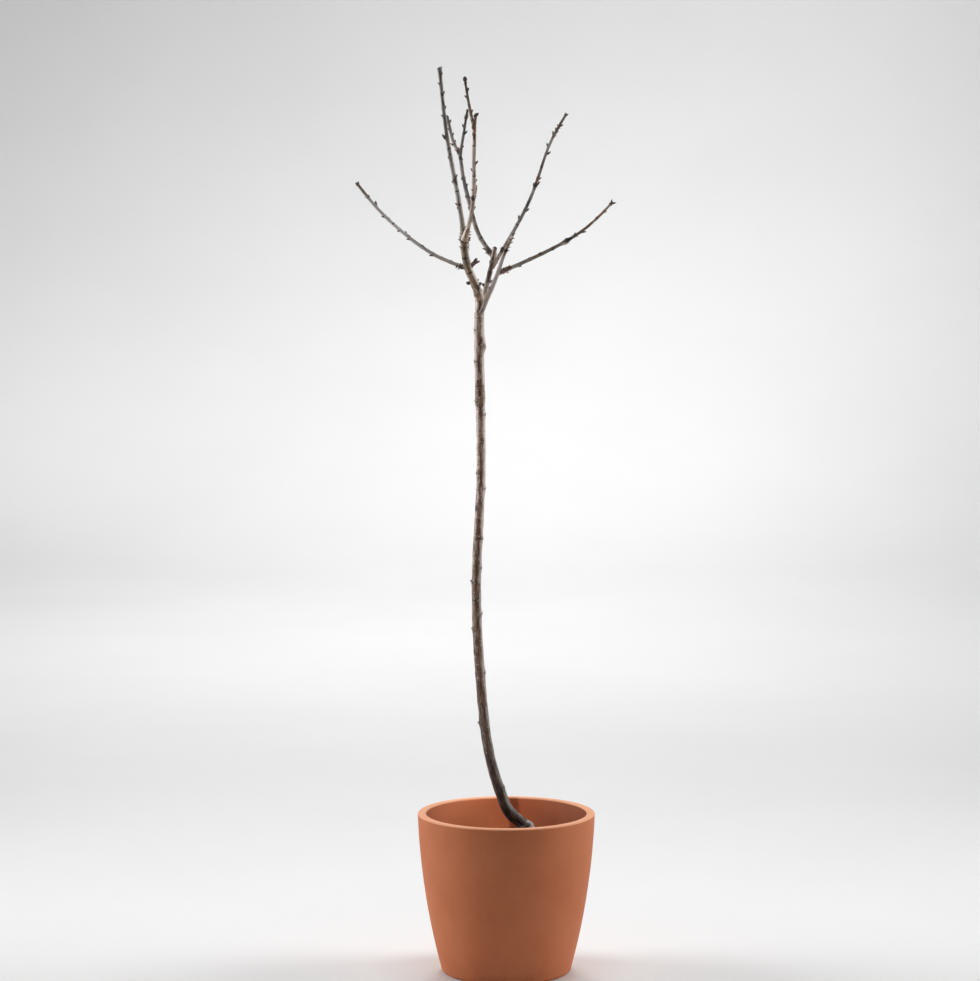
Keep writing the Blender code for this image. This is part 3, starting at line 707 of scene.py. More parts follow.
centreTwig = dict(
    start=(-0.0583, -0.0140, 1.0336), tip=(-0.0440, -0.0850, 1.1827), blunt=True,
    bows=(0.0061, 0.0060, 0.0026), radii=(0.0030, 0.0024), seed=5.5,
    nodes=(
        (0.30, 0, 0.70), (0.40, 185, 0.0), (0.47, 200, 0.30), (0.55, 0, 0.65), (0.645, 180, 0.70), (0.705, 2, 0.95),
        (0.97, 185, 0.0), (0.52, 100, 0.6), (0.60, 280, 0.0), (0.80, 95, 0.6), (0.87, 275, 0.0), (0.17, 100, 0.5),
    ),
    scales=(
        (0.022, 0, 0.85, 66), (0.048, 355, 0.80, 58), (0.075, 350, 0.60, 50), (0.03, 300, 0.55, 50), (0.40, 350, 0.45, 50),
        (0.39, 180, 0.5, 50),
    ),
    rings=((0.39, 1.0), (0.42, 0.8), (0.96, 0.8), (0.985, 0.8), (0.02, 0.8)),
    marks=((0.39, 262, 0.007, 70, 0.9), (0.955, 262, 0.014, 60, 0.9), (0.80, 275, 0.040, 14, 0.5)),
    swells=((0.0, 0.0018, 0.015), (0.39, 0.0005, 0.004)), paintedLitSide=(170, 0.18),
    film=((0.0, 0.34), (0.06, 0.36), (0.12, 0.58), (0.40, 0.50), (0.85, 0.56), (0.93, 0.2), (1.0, 0.2)),
    shade=((0.0, 2.0), (0.08, 1.75), (0.19, 1.11), (0.31, 0.98), (0.45, 1.20), (0.7, 1.06), (0.82, 1.08), (0.94, 1.40), (1.0, 1.50)),
    warm=((0.0, 0.16), (0.1, 0.30), (0.3, 0.36), (0.88, 0.36), (0.94, 0.60), (1.0, 0.50)),
    olive=((0.0, 0.75), (0.1, 0.5), (0.4, 0.3), (1.0, 0.3)),
)
centreSpur = dict(
    start=(-0.0447, -0.0415, 1.0905), tip=(-0.0412, -0.0470, 1.1075), bows=(0.0006,),
    radii=(0.0014, 0.0010), seed=5.9, nodes=(), tipBuds=((0, 2, 0.5, 1.0),),
    film=((0.0, 0.5),), olive=((0.0, 0.3),), shade=((0.0, 1.1),), warm=((0.0, 0.35),),
)
centreLeft = dict(
    start=(-0.0440, -0.0850, 1.1827), tip=(-0.0567, -0.1100, 1.2508),
    bows=(-0.0007, -0.0009), radii=(0.0023, 0.0016), seed=6.1,
    nodes=((0.07, 182, 0.0), (0.37, 0, 0.70), (0.66, 180, 0.75), (0.79, 0, 0.80), (0.50, 95, 0.5), (0.22, 270, 0.0)),
    scales=((0.90, 170, 0.35, 45), (0.93, 10, 0.35, 45)),
    rings=((0.04, 0.9), (0.10, 0.8), (0.35, 0.4), (0.92, 0.6)), marks=((0.08, 268, 0.010, 80, 0.8), (0.95, 270, 0.006, 200, 0.8)),
    tipBuds=((0, 0, 1.02, 2.1), (200, 38, 0.75, 1.4), (20, 38, 0.75, 1.4)),
    film=((0.0, 0.35), (0.3, 0.30)), olive=((0.0, 0.4), (0.2, 0.75), (1.0, 0.5)), paintedLitSide=(180, 0.15),
    shade=((0.0, 1.75), (0.1, 1.75), (0.3, 0.90), (0.5, 0.96), (0.7, 0.56), (1.0, 0.28)), warm=((0.0, 0.45), (0.4, 0.30), (1.0, 0.20)),
)
centreRight = dict(
    start=(-0.0440, -0.0850, 1.1827), tip=(-0.0425, -0.0950, 1.2027),
    bows=(0.0,), radii=(0.0020, 0.0018), seed=6.6,
    nodes=((0.5, 182, 0.0),), rings=((0.5, 0.7), (0.9, 0.8)),
    tipBuds=((0, 42, 1.30, 1.35), (182, 6, 0.75, 1.5)), film=((0.0, 0.35),), warm=((0.0, 0.50),), shade=((0.0, 1.17), (0.5, 1.05), (0.7, 0.50), (1.0, 0.24)),
)
leftLimb = dict(
    start=(-0.0538, -0.0040, 0.9935), tip=(-0.2087, 0.0500, 1.1101),
    bows=(-0.0129, -0.0151, -0.0109), radii=(0.0028, 0.0020), seed=7.4,
    nodes=(
        (0.050, 0, 0.0), (0.045, 182, 0.0), (0.075, 185, 0.0), (0.13, 0, 0.35), (0.265, 182, 0.85), (0.36, 2, 0.35),
        (0.465, 182, 0.75), (0.48, 5, 0.40), (0.51, 0, 0.70), (0.555, 182, 0.65), (0.67, 0, 0.35), (0.705, 182, 0.65),
        (0.805, 0, 1.10), (0.885, 2, 0.55), (0.93, 90, 0.4), (0.42, 92, 0.5), (0.20, 88, 0.5), (0.62, 276, 0.0),
    ),
    scales=(
        (0.050, 182, 0.85, 68), (0.030, 200, 0.80, 78), (0.070, 172, 0.65, 60), (0.055, 0, 0.60, 45), (0.04, 250, 0.5, 60),
        (0.885, 180, 0.45, 50), (0.895, 300, 0.40, 45),
    ),
    rings=((0.025, 1.0), (0.045, 0.9), (0.065, 0.8), (0.36, 0.4), (0.885, 0.9), (0.95, 0.5)),
    marks=((0.35, 330, 0.012, 35, 0.9), (0.93, 180, 0.014, 50, 0.4), (0.88, 0, 0.005, 80, 0.9), (0.05, 230, 0.006, 60, 0.9)),
    tipBuds=((180, 16, 0.95, 1.5), (0, 52, 1.05, 1.4), (90, 20, 0.7, 1.4)),
    film=((0.0, 0.56), (0.2, 0.52), (0.5, 0.54), (0.85, 0.74), (0.90, 0.30)), paintedLitSide=(190, 0.34),
    warm=((0.0, 0.25), (0.22, 0.15), (0.35, 0.0), (0.87, 0.0), (0.91, 0.6), (1.0, 0.5)), olive=((0.0, 0.30), (0.3, 0.0)),
    shade=((0.0, 0.68), (0.1, 0.76), (0.19, 0.84), (0.31, 0.68), (0.44, 0.84), (0.56, 1.12), (0.69, 0.86), (0.81, 0.79), (0.88, 0.66), (0.93, 0.40), (1.0, 0.45)),
)
backTwig = dict(
    start=(-0.0180, 0.0190, 1.0093), tip=(-0.0655, 0.1000, 1.1512), blunt=True,
    bows=(-0.0100, -0.0090, -0.0061), radii=(0.0033, 0.0025), seed=8.3,
    nodes=(
        (0.095, 182, 0.0), (0.045, 182, 0.0), (0.07, 215, 0.0), (0.50, 180, 0.50), (0.61, 180, 0.45), (0.71, 0, 0.75),
        (0.78, 185, 0.0), (0.96, 2, 0.0), (0.30, 95, 0.6), (0.40, 280, 0.0), (0.88, 100, 0.5), (0.20, 268, 0.0),
    ),
    scales=(
        (0.095, 182, 0.80, 45), (0.055, 182, 0.75, 62), (0.075, 205, 0.65, 55), (0.035, 195, 0.55, 60), (0.08, 240, 0.5, 55),
        (0.78, 178, 0.40, 50), (0.785, 5, 0.40, 50),
    ),
    rings=((0.05, 1.0), (0.08, 0.9), (0.11, 0.8), (0.78, 0.6), (0.96, 0.9), (0.985, 0.8)),
    marks=((0.06, 235, 0.010, 70, 0.9), (0.97, 270, 0.006, 90, 0.9)), swells=((0.06, 0.0006, 0.006),),
    film=((0.0, 0.36), (0.15, 0.50), (0.6, 0.48), (0.69, 0.38), (0.78, 0.49), (1.0, 0.48)), paintedLitSide=(170, 0.16),
    shade=((0.0, 0.84), (0.12, 0.54), (0.19, 0.38), (0.31, 0.33), (0.44, 0.56), (0.56, 0.44), (0.69, 0.18), (0.81, 0.40), (1.0, 0.42)),
    warm=((0.0, 0.36), (0.15, 0.16), (0.38, 0.30), (0.58, 0.28), (0.7, 0.06), (1.0, 0.08)),
)
backLeft = dict(
    start=(-0.0655, 0.1000, 1.1512), tip=(-0.0837, 0.1250, 1.2065),
    bows=(-0.0028, -0.0020), radii=(0.0024, 0.0020), seed=9.1,
    nodes=((0.14, 0, 0.80), (0.30, 182, 0.85), (0.36, 0, 0.65), (0.54, 2, 0.70), (0.86, 0, 0.85), (0.68, 200, 0.45)),
    scales=((0.15, 180, 0.4, 50), (0.31, 20, 0.4, 50)),
    rings=((0.04, 0.9), (0.14, 0.7), (0.30, 0.6), (0.53, 0.4), (0.83, 0.4)), marks=((0.08, 268, 0.012, 90, 0.8),),
    tipBuds=((180, 8, 0.60, 1.6),), film=((0.0, 0.50), (1.0, 0.55)), paintedLitSide=(180, 0.1),
    shade=((0.0, 0.92), (0.1, 0.88), (0.3, 0.54), (0.5, 0.42), (0.7, 0.25), (1.0, 0.19)), warm=((0.0, 0.25), (1.0, 0.15)),
)
backRight = dict(
    start=(-0.0655, 0.1000, 1.1512), tip=(-0.0551, 0.1150, 1.2141),
    bows=(0.0001, -0.0001), radii=(0.0021, 0.0018), seed=9.7,
    nodes=((0.06, 182, 0.60), (0.20, 0, 0.50), (0.50, 0, 0.95), (0.64, 182, 0.85), (0.86, 0, 0.50), (0.84, 185, 0.5)),
    scales=((0.88, 170, 0.45, 40), (0.90, 20, 0.45, 40), (0.94, 300, 0.4, 40)),
    rings=((0.20, 0.5), (0.49, 0.4), (0.85, 0.8), (0.95, 0.8)),
    tipBuds=((0, 26, 0.70, 1.7), (180, 26, 0.70, 1.7), (90, 12, 0.70, 1.5)),
    film=((0.0, 0.47), (0.8, 0.47), (0.9, 0.25)), olive=((0.0, 0.0), (0.8, 0.0), (0.9, 0.6)),
    shade=((0.0, 0.26), (0.3, 0.32), (0.5, 0.15), (0.7, 0.32), (0.9, 0.19), (1.0, 0.28)), warm=((0.0, 0.25), (0.3, 0.15), (0.6, 0.05), (0.9, 0.30)),
)
upperRight = dict(
    start=(-0.0202, 0.0140, 0.9941), tip=(0.0835, 0.0800, 1.2074),
    bows=(0.0040, 0.0065, 0.0032, -0.0023), radii=(0.0028, 0.0018), seed=10.2,
    nodes=(
        (0.12, 5, 0.40), (0.13, 182, 0.35), (0.235, 0, 0.55), (0.33, 182, 0.95), (0.39, 2, 0.95), (0.545, 182, 0.60),
        (0.555, 10, 0.85), (0.59, 0, 0.75), (0.745, 0, 1.05), (0.79, 182, 0.85), (0.865, 180, 0.95), (0.90, 182, 0.60),
        (0.93, 0, 0.80), (0.89, 20, 0.5), (0.47, 92, 0.5), (0.66, 275, 0.0), (0.18, 95, 0.5), (0.29, 270, 0.0),
    ),
    scales=(
        (0.55, 180, 0.55, 50), (0.565, 0, 0.65, 48), (0.54, 330, 0.45, 50), (0.535, 200, 0.45, 50), (0.86, 10, 0.45, 45),
        (0.92, 182, 0.55, 45), (0.91, 20, 0.45, 45), (0.12, 180, 0.4, 55), (0.125, 350, 0.4, 55),
    ),
    rings=((0.11, 1.0), (0.13, 0.8), (0.525, 1.0), (0.545, 0.9), (0.565, 0.8), (0.855, 0.7), (0.90, 0.8), (0.92, 0.7)),
    marks=((0.12, 268, 0.009, 90, 1.0), (0.545, 268, 0.011, 90, 0.8), (0.86, 262, 0.006, 60, 0.6)),
    swells=((0.545, 0.0005, 0.006), (0.87, 0.0003, 0.006)),
    tipBuds=((180, 26, 0.90, 1.3), (0, 42, 1.00, 1.3), (90, 20, 0.8, 1.3)),
    film=((0.0, 0.38), (0.2, 0.55), (0.5, 0.54), (0.56, 0.3), (0.68, 0.54), (0.82, 0.55), (0.88, 0.33), (1.0, 0.40)),
    warm=((0.0, 0.42), (0.1, 0.30), (0.22, 0.08), (0.48, 0.02), (0.55, 0.5), (0.62, 0.2), (0.82, 0.05), (0.87, 0.35), (1.0, 0.1)),
    shade=((0.0, 1.0), (0.18, 0.86), (0.31, 0.45), (0.44, 0.17), (0.52, 0.70), (0.57, 0.66), (0.68, 0.27), (0.82, 0.67), (0.94, 0.50), (1.0, 0.48)),
    paintedLitSide=(170, 0.18),
)
lowerRight = dict(
    start=(-0.0113, -0.0090, 0.9875), tip=(0.1427, -0.0750, 1.0840),
    bows=(0.0066, 0.0109, 0.0101), radii=(0.0029, 0.0016), seed=11.9, redScales=0.75,
    nodes=(
        (0.050, 182, 0.0), (0.085, 180, 0.0), (0.035, 2, 0.0), (0.065, 100, 0.6), (0.155, 2, 0.95), (0.35, 182, 0.35),
        (0.575, 182, 0.0), (0.645, 182, 0.70), (0.70, 2, 0.95), (0.85, 182, 0.30), (0.92, 2, 0.60), (0.26, 95, 0.5),
        (0.45, 278, 0.0), (0.78, 92, 0.5),
    ),
    scales=(
        (0.045, 180, 0.65, 52), (0.070, 182, 0.60, 45), (0.090, 178, 0.80, 40), (0.050, 2, 0.85, 62), (0.025, 172, 0.55, 52),
        (0.060, 262, 0.40, 50), (0.035, 285, 0.40, 55), (0.085, 235, 0.40, 50), (0.075, 5, 0.45, 50),
        (0.64, 5, 0.5, 45), (0.62, 178, 0.4, 40),
    ),
    rings=(
        (0.03, 0.7), (0.05, 0.8), (0.07, 0.6), (0.09, 0.6), (0.53, 0.6), (0.57, 0.8), (0.60, 0.8), (0.645, 0.6),
        (0.92, 0.4),
    ),
    marks=(
        (0.580, 205, 0.016, 75, 1.0), (0.04, 230, 0.007, 60, 0.5), (0.35, 200, 0.006, 40, 0.9), (0.542, 322, 0.007, 50, -1.0),
        (0.555, 190, 0.010, 60, 1.0),
    ),
    swells=((0.565, 0.0011, 0.0055), (0.548, 0.0016, 0.0050, 350), (0.05, 0.0008, 0.007)),
    tipBuds=((180, 34, 1.45, 0.75), (0, 40, 1.50, 0.80)),
    film=((0.0, 0.40), (0.09, 0.45), (0.12, 0.60), (0.3, 0.50), (0.5, 0.42), (0.6, 0.3), (1.0, 0.25)),
    warm=((0.0, 0.62), (0.09, 0.45), (0.14, 0.14), (0.25, 0.18), (0.5, 0.26), (0.62, 0.32), (0.75, 0.45), (1.0, 0.42)),
    olive=((0.0, 0.0), (0.2, 0.3), (0.5, 0.4), (0.65, 0.3), (0.8, 0.0)), paintedLitSide=(340, 0.22),
    shade=(
        (0.0, 1.02), (0.1, 0.98), (0.19, 0.47), (0.3, 0.76), (0.44, 0.38), (0.52, 0.46), (0.535, 1.15), (0.555, 1.15),
        (0.58, 0.34), (0.68, 0.47), (0.8, 1.02), (1.0, 0.94),
    ),
)


# the bark's form and the tones that it carries

barkShape = dict(
    nodeReach=0.0022, nodeRing=0.08, nodeSide=0.30, nodeMost=0.0024, ringReach=0.0006, ringRise=0.00016, ringSway=0.0011, ringScar=0.62,
    collarRun=0.004, lumps=0.05, lumpScale=70, lumpRound=0.8, nodeScar=0.15,
)


# the silver film is real, but how much lies on each side is painted light: more on the right flank as a painted
# highlight, less on the front and back as painted shade
paintedFlankLight = ((0, 1.0), (45, 0.2), (90, -0.6), (135, -0.6), (180, -0.4), (200, -0.25), (222, -0.12), (250, -0.6), (290, -0.7), (318, 0.5), (340, 1.0), (360, 1.0))


def barkRelief(seed, depth, reach):
    # fine streaks that run along the limb, on slow lumps
    def relief(turn, run):
        angle = math.radians(turn)
        x, y = math.cos(angle), math.sin(angle)
        streak = noise.fractal(Vector((x * 1.8 + seed, y * 1.8, run * 60)), 0.9, 2.1, 4)
        round = barkShape["lumpRound"]
        lump = noise.noise(Vector((x * round - seed, y * round, run * barkShape["lumpScale"])))
        return depth * streak + reach * barkShape["lumps"] * lump
    return relief


def alongLimb(limb, key, share, usual):
    table = limb.get(key)
    if not table:
        return usual
    return float(np.interp(share, [row[0] for row in table], [row[1] for row in table]))


def ringSway(turn, at):
    angle = math.radians(turn)
    return barkShape["ringSway"] * noise.noise(Vector((math.cos(angle) * 1.7, math.sin(angle) * 1.7, at * 97)))


def turnGap(turn, other):
    return (turn - other + 180) % 360 - 180


def growBark(limb, line, skin, sides, depth, radiusOf, collar=0.0):
    total = lineLength(line)
    reach = (radiusOf(0.0) + radiusOf(1.0)) / 2
    relief = barkRelief(limb["seed"], depth, reach)
    nodeReach = barkShape["nodeReach"] * max(1.0, reach / 0.003)
    cut = limb.get("cut")

    def radiusAt(share, turn, run):
        radius = radiusOf(share)
        swell = collar * math.exp(-run / barkShape["collarRun"])
        knuckle = 0.0
        for at, side, size in limb["nodes"]:
            gap = (share - at) * total
            if abs(gap) < 3 * nodeReach:
                side = barkShape["nodeRing"] + barkShape["nodeSide"] * facing(turn, side) ** 3
                knuckle = max(knuckle, min(radius, barkShape["nodeMost"]) * bell(gap, nodeReach) * side)
        for at, strength in limb.get("rings", ()):
            gap = (share - at) * total + ringSway(turn, at)
            if abs(gap) < 0.004:
                swell += barkShape["ringRise"] * strength * bell(gap, barkShape["ringReach"])
                swell -= barkShape["ringRise"] * strength * 0.7 * bell(gap + 0.0013, barkShape["ringReach"])
        for at, rise, width, *side in limb.get("swells", ()):
            part = facing(turn, side[0]) ** 2 if side else 1.0
            swell += rise * bell((share - at) * total, width) * part
        if cut:
            swell += radius * cut["flare"] * math.exp(-(total - run) / cut["run"])
        return radius + relief(turn, run) + swell + knuckle

    def toneAt(share, turn, run):
        scar = 0.0
        paleMarksAndPaintedHighlights = 0.0
        for at, side, size in limb["nodes"]:
            gap = (share - at) * total
            if abs(gap) < 0.008:
                scar = max(scar, 0.75 * bell(gap, 0.0016) * (barkShape["nodeScar"] + (1 - barkShape["nodeScar"]) * facing(turn, side)))
        for at, strength in limb.get("rings", ()):
            gap = (share - at) * total + ringSway(turn, at)
            if abs(gap) < 0.004:
                scar = max(scar, strength * barkShape["ringScar"] * bell(gap + 0.0013, 0.0010))
        for at, side, length, width, strength in limb.get("marks", ()):
            near = bell((share - at) * total, length / 2) * bell(turnGap(turn, side), width)
            if strength > 0:
                scar = max(scar, strength * near)
            else:
                paleMarksAndPaintedHighlights = max(paleMarksAndPaintedHighlights, -strength * near)
        pores = 0.0
        for at, strength in limb.get("rings", ()):
            pores = max(pores, 0.8 * strength * bell((share - at) * total, 0.004))
        shade = alongLimb(limb, "shade", share, 1.0)
        film = alongLimb(limb, "film", share, 0.4)
        # more film on one side, mostly the underside, as painted light and less on the opposite side as painted shade
        if "paintedLitSide" in limb:
            film += limb["paintedLitSide"][1] * math.cos(math.radians(turn - limb["paintedLitSide"][0]))
        # painted highlight on the right flank and painted shade on the front and back, carried by the film
        film += limb.get("paintedFlankStrength", 0.0) * float(np.interp(turn % 360, *zip(*paintedFlankLight)))
        tint = (alongLimb(limb, "warm", share, 0.1), alongLimb(limb, "olive", share, 0.0), pores)
        return (shade, scar, film + paleMarksAndPaintedHighlights), tint

    skinLimb(line, sides, skin, limb["seed"], reach, radiusAt, toneAt, cut)


def finishWood(name, skin, mat, nodes):
    piece = addPiece(name, skin, mat)
    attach(piece, "root")
    if nodes:
        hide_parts(*nodes)
    return piece


def makeTrunk(mat, buds):
    trunk = dict(
        sway=(
            (0.196, 0.034), (0.212, 0.021), (0.228, 0.0035), (0.246, -0.0050), (0.280, -0.0165),
            (0.330, -0.0276), (0.400, -0.0350), (0.490, -0.0409), (0.590, -0.0410),
            (0.690, -0.0360), (0.790, -0.0361), (0.880, -0.0379), (0.932, -0.0376),
        ),
        back=0.005, radii=((0.196, 0.0085), (0.300, 0.0072), (0.700, 0.0062), (0.932, 0.0069)), seed=0.4,
        paintedFlankStrength=0.36,
    )
    # by height: bumps with a bud, ring scars with pale pores, dark marks, and the bark's tones
    byHeight = dict(
        nodes=(
            (0.260, 0, 0.50), (0.353, 180, 0.80), (0.425, 0, 0.55), (0.487, 180, 0.65), (0.509, 0, 0.60),
            (0.554, 185, 0.75), (0.575, 2, 0.35), (0.617, 0, 0.45), (0.687, 0, 0.50), (0.708, 180, 0.45),
            (0.790, 0, 0.50), (0.808, 185, 0.60), (0.864, 180, 0.50), (0.908, 180, 0.50),
            (0.313, 95, 0.5), (0.455, 88, 0.5), (0.640, 95, 0.5), (0.745, 85, 0.5), (0.845, 92, 0.5),
        ),
        rings=(
            (0.926, 0.9), (0.831, 1.0), (0.823, 1.0), (0.814, 1.0), (0.799, 0.8), (0.769, 0.8), (0.730, 0.5),
            (0.644, 0.8), (0.617, 0.9), (0.554, 0.7), (0.530, 0.8), (0.464, 0.8), (0.413, 0.9), (0.345, 0.8),
            (0.290, 0.6),
        ),
        marks=(
            (0.820, 264, 0.011, 20, 1.0), (0.894, 296, 0.018, 34, 0.55), (0.886, 322, 0.015, 34, 0.55),
            (0.659, 212, 0.010, 42, 0.8), (0.617, 270, 0.006, 75, 0.6), (0.554, 192, 0.007, 50, 0.9),
            # the long narrow marks facing the front, at turns 262 to 272, are painted shade: a dark stripe down the
            # unlit front
            (0.857, 262, 0.040, 14, 0.62), (0.715, 270, 0.070, 14, 0.60), (0.575, 264, 0.045, 14, 0.60),
            (0.500, 272, 0.035, 16, 0.60),
        ),
        shade=(
            (0.196, 0.36), (0.300, 0.36), (0.345, 0.47), (0.400, 0.66), (0.480, 0.70), (0.560, 0.78),
            (0.610, 0.95), (0.700, 1.16), (0.780, 1.10), (0.932, 1.07),
        ),
        film=(
            (0.196, 0.00), (0.320, 0.12), (0.400, 0.32), (0.500, 0.42), (0.700, 0.54), (0.800, 0.60),
            (0.810, 0.22), (0.828, 0.22), (0.838, 0.62), (0.932, 0.62),
        ),
        warm=((0.196, 0.2), (0.380, 0.25), (0.395, 0.5), (0.410, 0.3), (0.932, 0.36)),
        olive=((0.196, 0.0), (0.800, 0.0), (0.809, 0.8), (0.828, 0.8), (0.836, 0.0), (0.880, 0.1), (0.932, 0.4)),
        swells=((0.884, 0.0004, 0.007), (0.883, 0.0019, 0.0060, 350), (0.892, 0.0015, 0.009, 350), (0.820, 0.0004, 0.010), (0.205, 0.0010, 0.010)),
    )
    low = trunk["sway"][0][0]
    span = trunk["sway"][-1][0] - low
    stations = []
    for height, sideways in trunk["sway"]:
        back = trunk["back"] * math.sin(2 * math.pi * (height - low) / span)
        stations.append(Vector((sideways, back, height)))
    line = softLine(stations, 0.0010)
    heights = [point.z for point in line]

    def shareOf(height):
        return float(np.interp(height, heights, np.linspace(0, 1, len(line))))

    def radiusOf(share):
        height = line[int(share * (len(line) - 1))].z
        return float(np.interp(height, *zip(*trunk["radii"])))

    for key, rows in byHeight.items():
        trunk[key] = [(shareOf(row[0]), *row[1:]) for row in rows]
    wood = newSkin()
    growBark(trunk, line, wood, 48, 0.00032, radiusOf)
    for share, turn, size in trunk["nodes"]:
        if size:
            centre, along = spotAt(line, share)
            way = outward(along, turn)
            aim = (way + along * 0.9).normalized()
            addBud(centre + way * radiusOf(share) * 0.82, aim, size, buds, 1.25)
    # the rootstock, cut to a rough heel beside the graft
    stock = dict(
        foot=(0.0330, 0.0, 0.1723), collar=0.008, heel=(0.0265, 0.0, 0.2135), seed=12.5,
        radii=((0.0, 0.0175), (0.2, 0.013), (0.55, 0.012), (0.88, 0.0102), (1.0, 0.0062)),
        nodes=((0.72, 20, 0.0), (0.6, 290, 0.0)), rings=((0.60, 0.8), (0.74, 0.8), (0.95, 0.6)),
        # the marks below 0 here are painted highlights, pale streaks along the heel's right flank
        marks=((0.92, 285, 0.006, 40, 0.9), (0.96, 20, 0.012, 60, -1.0), (0.78, 5, 0.010, 45, -0.9), (0.86, 330, 0.004, 30, -0.8)),
        swells=((0.94, 0.0016, 0.0022, 15), (0.84, 0.0012, 0.0018, 40), (0.76, 0.0014, 0.0020, 5), (0.90, 0.0010, 0.0016, 300)),
        shade=((0.0, 0.32), (0.6, 0.42), (0.8, 0.70), (1.0, 0.85)), film=((0.0, 0.0), (1.0, 0.20)),
    )
    foot = Vector(stock["foot"])
    collar = foot + Vector((0.0, 0.0, stock["collar"]))
    heel = Vector(stock["heel"])
    stockLine = softLine([foot, collar, collar.lerp(heel, 0.45), collar.lerp(heel, 0.85), heel], 0.0008)
    growBark(stock, stockLine, wood, 48, 0.0014, lambda share: float(np.interp(share, *zip(*stock["radii"]))))
    finishWood("trunkWood", wood, mat, ("trunk",))


def makeTree():
    rng = random.Random(58)
    bark = barkMaterial()
    buds = newSkin()
    makeTrunk(bark, buds)
    for name, node, slot, limbs, sides, depth, collar in (
        ("leftStemWood", "left_stem", "bark", (leftStem,), 36, 0.00026, 0.0),
        ("rightStemWood", "right_stem", "bark", (rightStem,), 32, 0.00022, 0.0),
        ("outerStemWood", "outer_stem", "bark", (outerStem,), 28, 0.00020, 0.0),
        ("tallLeaderWood", "tall_leader", "twig_bark", (tallLeader,), 22, 0.00014, 0.0010),
        ("centreTwigsWood", "centre_twigs", "twig_bark", (centreTwig, centreSpur, centreLeft, centreRight), 22, 0.00012, 0.0006),
        ("leftLimbWood", "left_limb", "twig_bark", (leftLimb,), 22, 0.00012, 0.0008),
        ("backTwigsWood", "back_twigs", "twig_bark", (backTwig, backLeft, backRight), 22, 0.00012, 0.0006),
        ("upperRightWood", "upper_right_twig", "twig_bark", (upperRight,), 22, 0.00012, 0.0006),
        ("lowerRightWood", "lower_right_twig", "twig_bark", (lowerRight,), 22, 0.00012, 0.0008),
    ):
        wood = newSkin()
        for limb in limbs:
            growBark(limb, limbLine(limb), wood, sides, depth, lambda share, limb=limb: limbRadius(limb, share), collar)
            growBuds(limb, buds, rng)
            growSpurs(limb, wood, buds, rng)
        finishWood(name, wood, bark, (node,))
    finishWood("winterBuds", buds, budMaterial(), ())
    print("tree made")


# the studio


def areaLight(name, place, aim, width, height, power, spread=180):
    # spread is that of a gridded softbox, in degrees
    light = bpy.data.lights.new(name, "AREA")
    light.shape = "RECTANGLE"
    light.size = width
    light.size_y = height
    light.energy = power
    light.spread = math.radians(spread)
    lamp = bpy.data.objects.new(name, light)
    lamp.location = place
    way = Vector(aim) - Vector(place)
    lamp.rotation_euler = way.to_track_quat("-Z", "Y").to_euler()
    bpy.context.scene.collection.objects.link(lamp)
    return lamp


def sweepMaterial():
    mat, nodes, links, shader = newMaterial("paintedSweep")
    place = nodes.new("ShaderNodeTexCoord").outputs["Object"]
    mottle = noiseNode(nodes, links, place, 2.0, 2.0)
    links.new(rampNode(nodes, links, mottle, (0.3, 0.80), (0.7, 0.82)), shader.inputs["Base Color"])
    shader.inputs["Roughness"].default_value = 0.9
    return mat


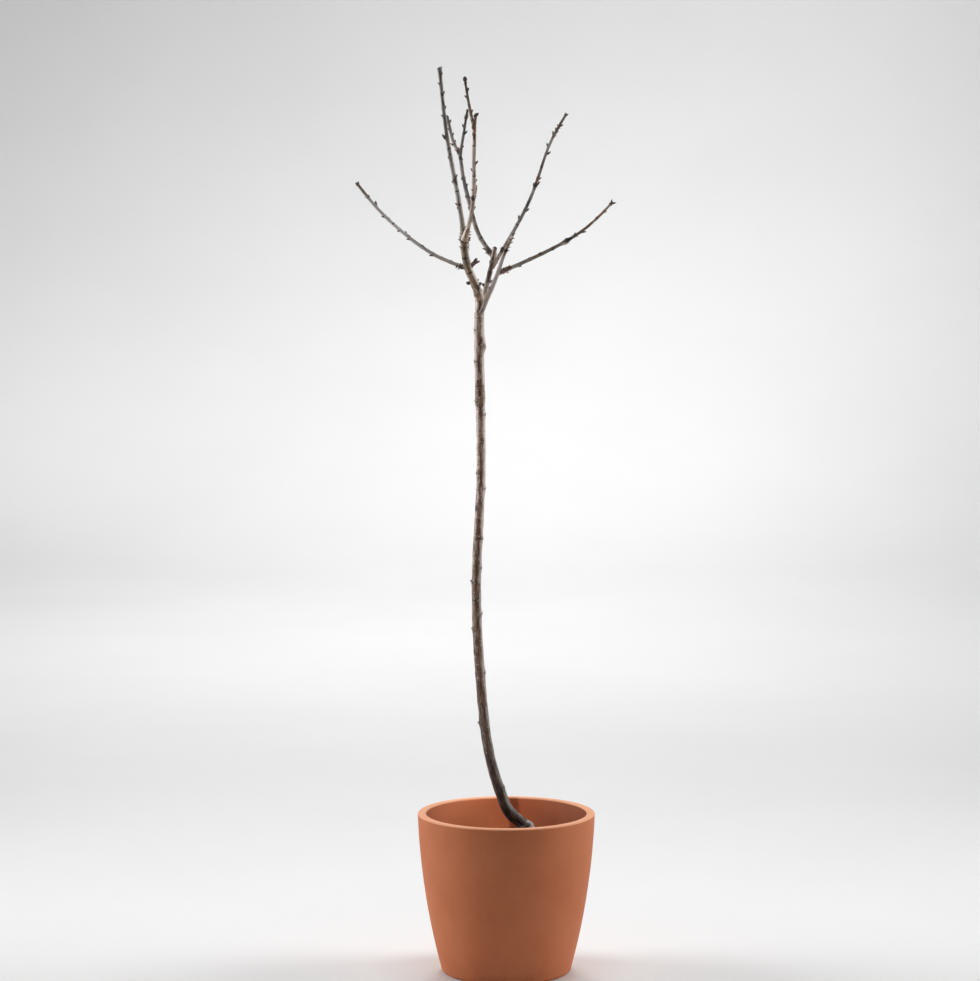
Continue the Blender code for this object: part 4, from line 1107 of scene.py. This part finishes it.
def makeStudio():
    # a round pale floor that curves up into a wall on every side
    sweep = dict(flat=4.4, bend=2.8, top=6.5, bendSteps=16, flatSteps=6, sides=128)
    profile = [(sweep["flat"] * k / sweep["flatSteps"], 0.0) for k in range(1, sweep["flatSteps"] + 1)]
    for k in range(1, sweep["bendSteps"] + 1):
        angle = math.pi / 2 * k / sweep["bendSteps"]
        profile.append((sweep["flat"] + sweep["bend"] * math.sin(angle), sweep["bend"] * (1 - math.cos(angle))))
    profile.append((sweep["flat"] + sweep["bend"], sweep["top"]))
    skin = newSkin()
    skin["verts"].append(Vector((0.0, 0.0, 0.0)))
    sides = sweep["sides"]
    for radius, height in profile:
        for n in range(sides):
            angle = 2 * math.pi * n / sides
            skin["verts"].append(Vector((radius * math.cos(angle), radius * math.sin(angle), height)))
    for n in range(sides):
        skin["faces"].append((0, 1 + n, 1 + (n + 1) % sides))
    for k in range(len(profile) - 1):
        for n in range(sides):
            a = 1 + k * sides + n
            b = 1 + k * sides + (n + 1) % sides
            skin["faces"].append((a, a + sides, b + sides, b))
    addPiece("studioSweep", skin, sweepMaterial())
    world = bpy.data.worlds.new("studioWorld")
    bpy.context.scene.world = world
    world.use_nodes = True
    sky = world.node_tree.nodes["Background"]
    sky.inputs["Color"].default_value = (1.0, 1.0, 1.0, 1.0)
    sky.inputs["Strength"].default_value = 0.09
    areaLight("leftSoftbox", (-2.5, 0.45, 1.40), (0.0, 0.0, 0.72), 1.4, 2.2, 16, 80)
    areaLight("rightSoftbox", (2.5, 0.45, 1.50), (0.0, 0.0, 0.72), 1.4, 2.2, 14.5, 80)
    areaLight("topSoftbox", (0.10, -0.30, 3.2), (0.0, 0.0, 0.2), 1.5, 1.0, 22)
    areaLight("potBeam", (-0.70, -1.45, 3.2), (-0.012, 0.102, 0.195), 0.10, 0.10, 0.014, 2)
    areaLight("floorWash", (-0.35, 3.0, 3.2), (-0.45, 3.2, 0.0), 1.6, 1.6, 37.5)
    areaLight("floorRight", (0.2, 3.0, 3.4), (0.2, 3.2, 0.0), 2.4, 1.6, 29.5)
    areaLight("lowWash", (-0.10, 2.9, 2.3), (-0.10, 3.0, 0.0), 1.2, 1.2, 17.5)
    areaLight("farFloor", (-0.10, 4.3, 3.0), (-0.10, 5.0, 0.4), 2.0, 1.0, 13)
    areaLight("backGlow", (0.20, 4.7, 1.75), (0.20, 6.0, 0.2), 1.2, 0.8, 10)
    areaLight("lowGlow", (0.0, 5.0, 1.5), (0.0, 7.2, 1.0), 2.8, 1.0, 3.9)
    areaLight("wallGlow", (0.90, 4.9, 2.5), (0.90, 7.2, 2.3), 1.4, 0.8, 12)
    areaLight("leftGlow", (-1.5, 4.7, 1.15), (-1.75, 6.3, 0.15), 1.0, 0.6, 0.8, 110)
    bpy.context.scene.view_settings.view_transform = "Standard"
    print("studio made")


def makeCamera():
    view = dict(place=(-0.0230, -4.5, 1.1000), pitch=5.288, lens=118.48, sensor=36.0)
    data = bpy.data.cameras.new("photoCamera")
    data.lens = view["lens"]
    data.sensor_width = view["sensor"]
    camera = bpy.data.objects.new("photoCamera", data)
    camera.location = view["place"]
    camera.rotation_euler = (math.radians(90 - view["pitch"]), 0.0, 0.0)
    bpy.context.scene.collection.objects.link(camera)
    bpy.context.scene.camera = camera


makePot()
makeCompost()
makeTree()
makeStudio()
makeCamera()
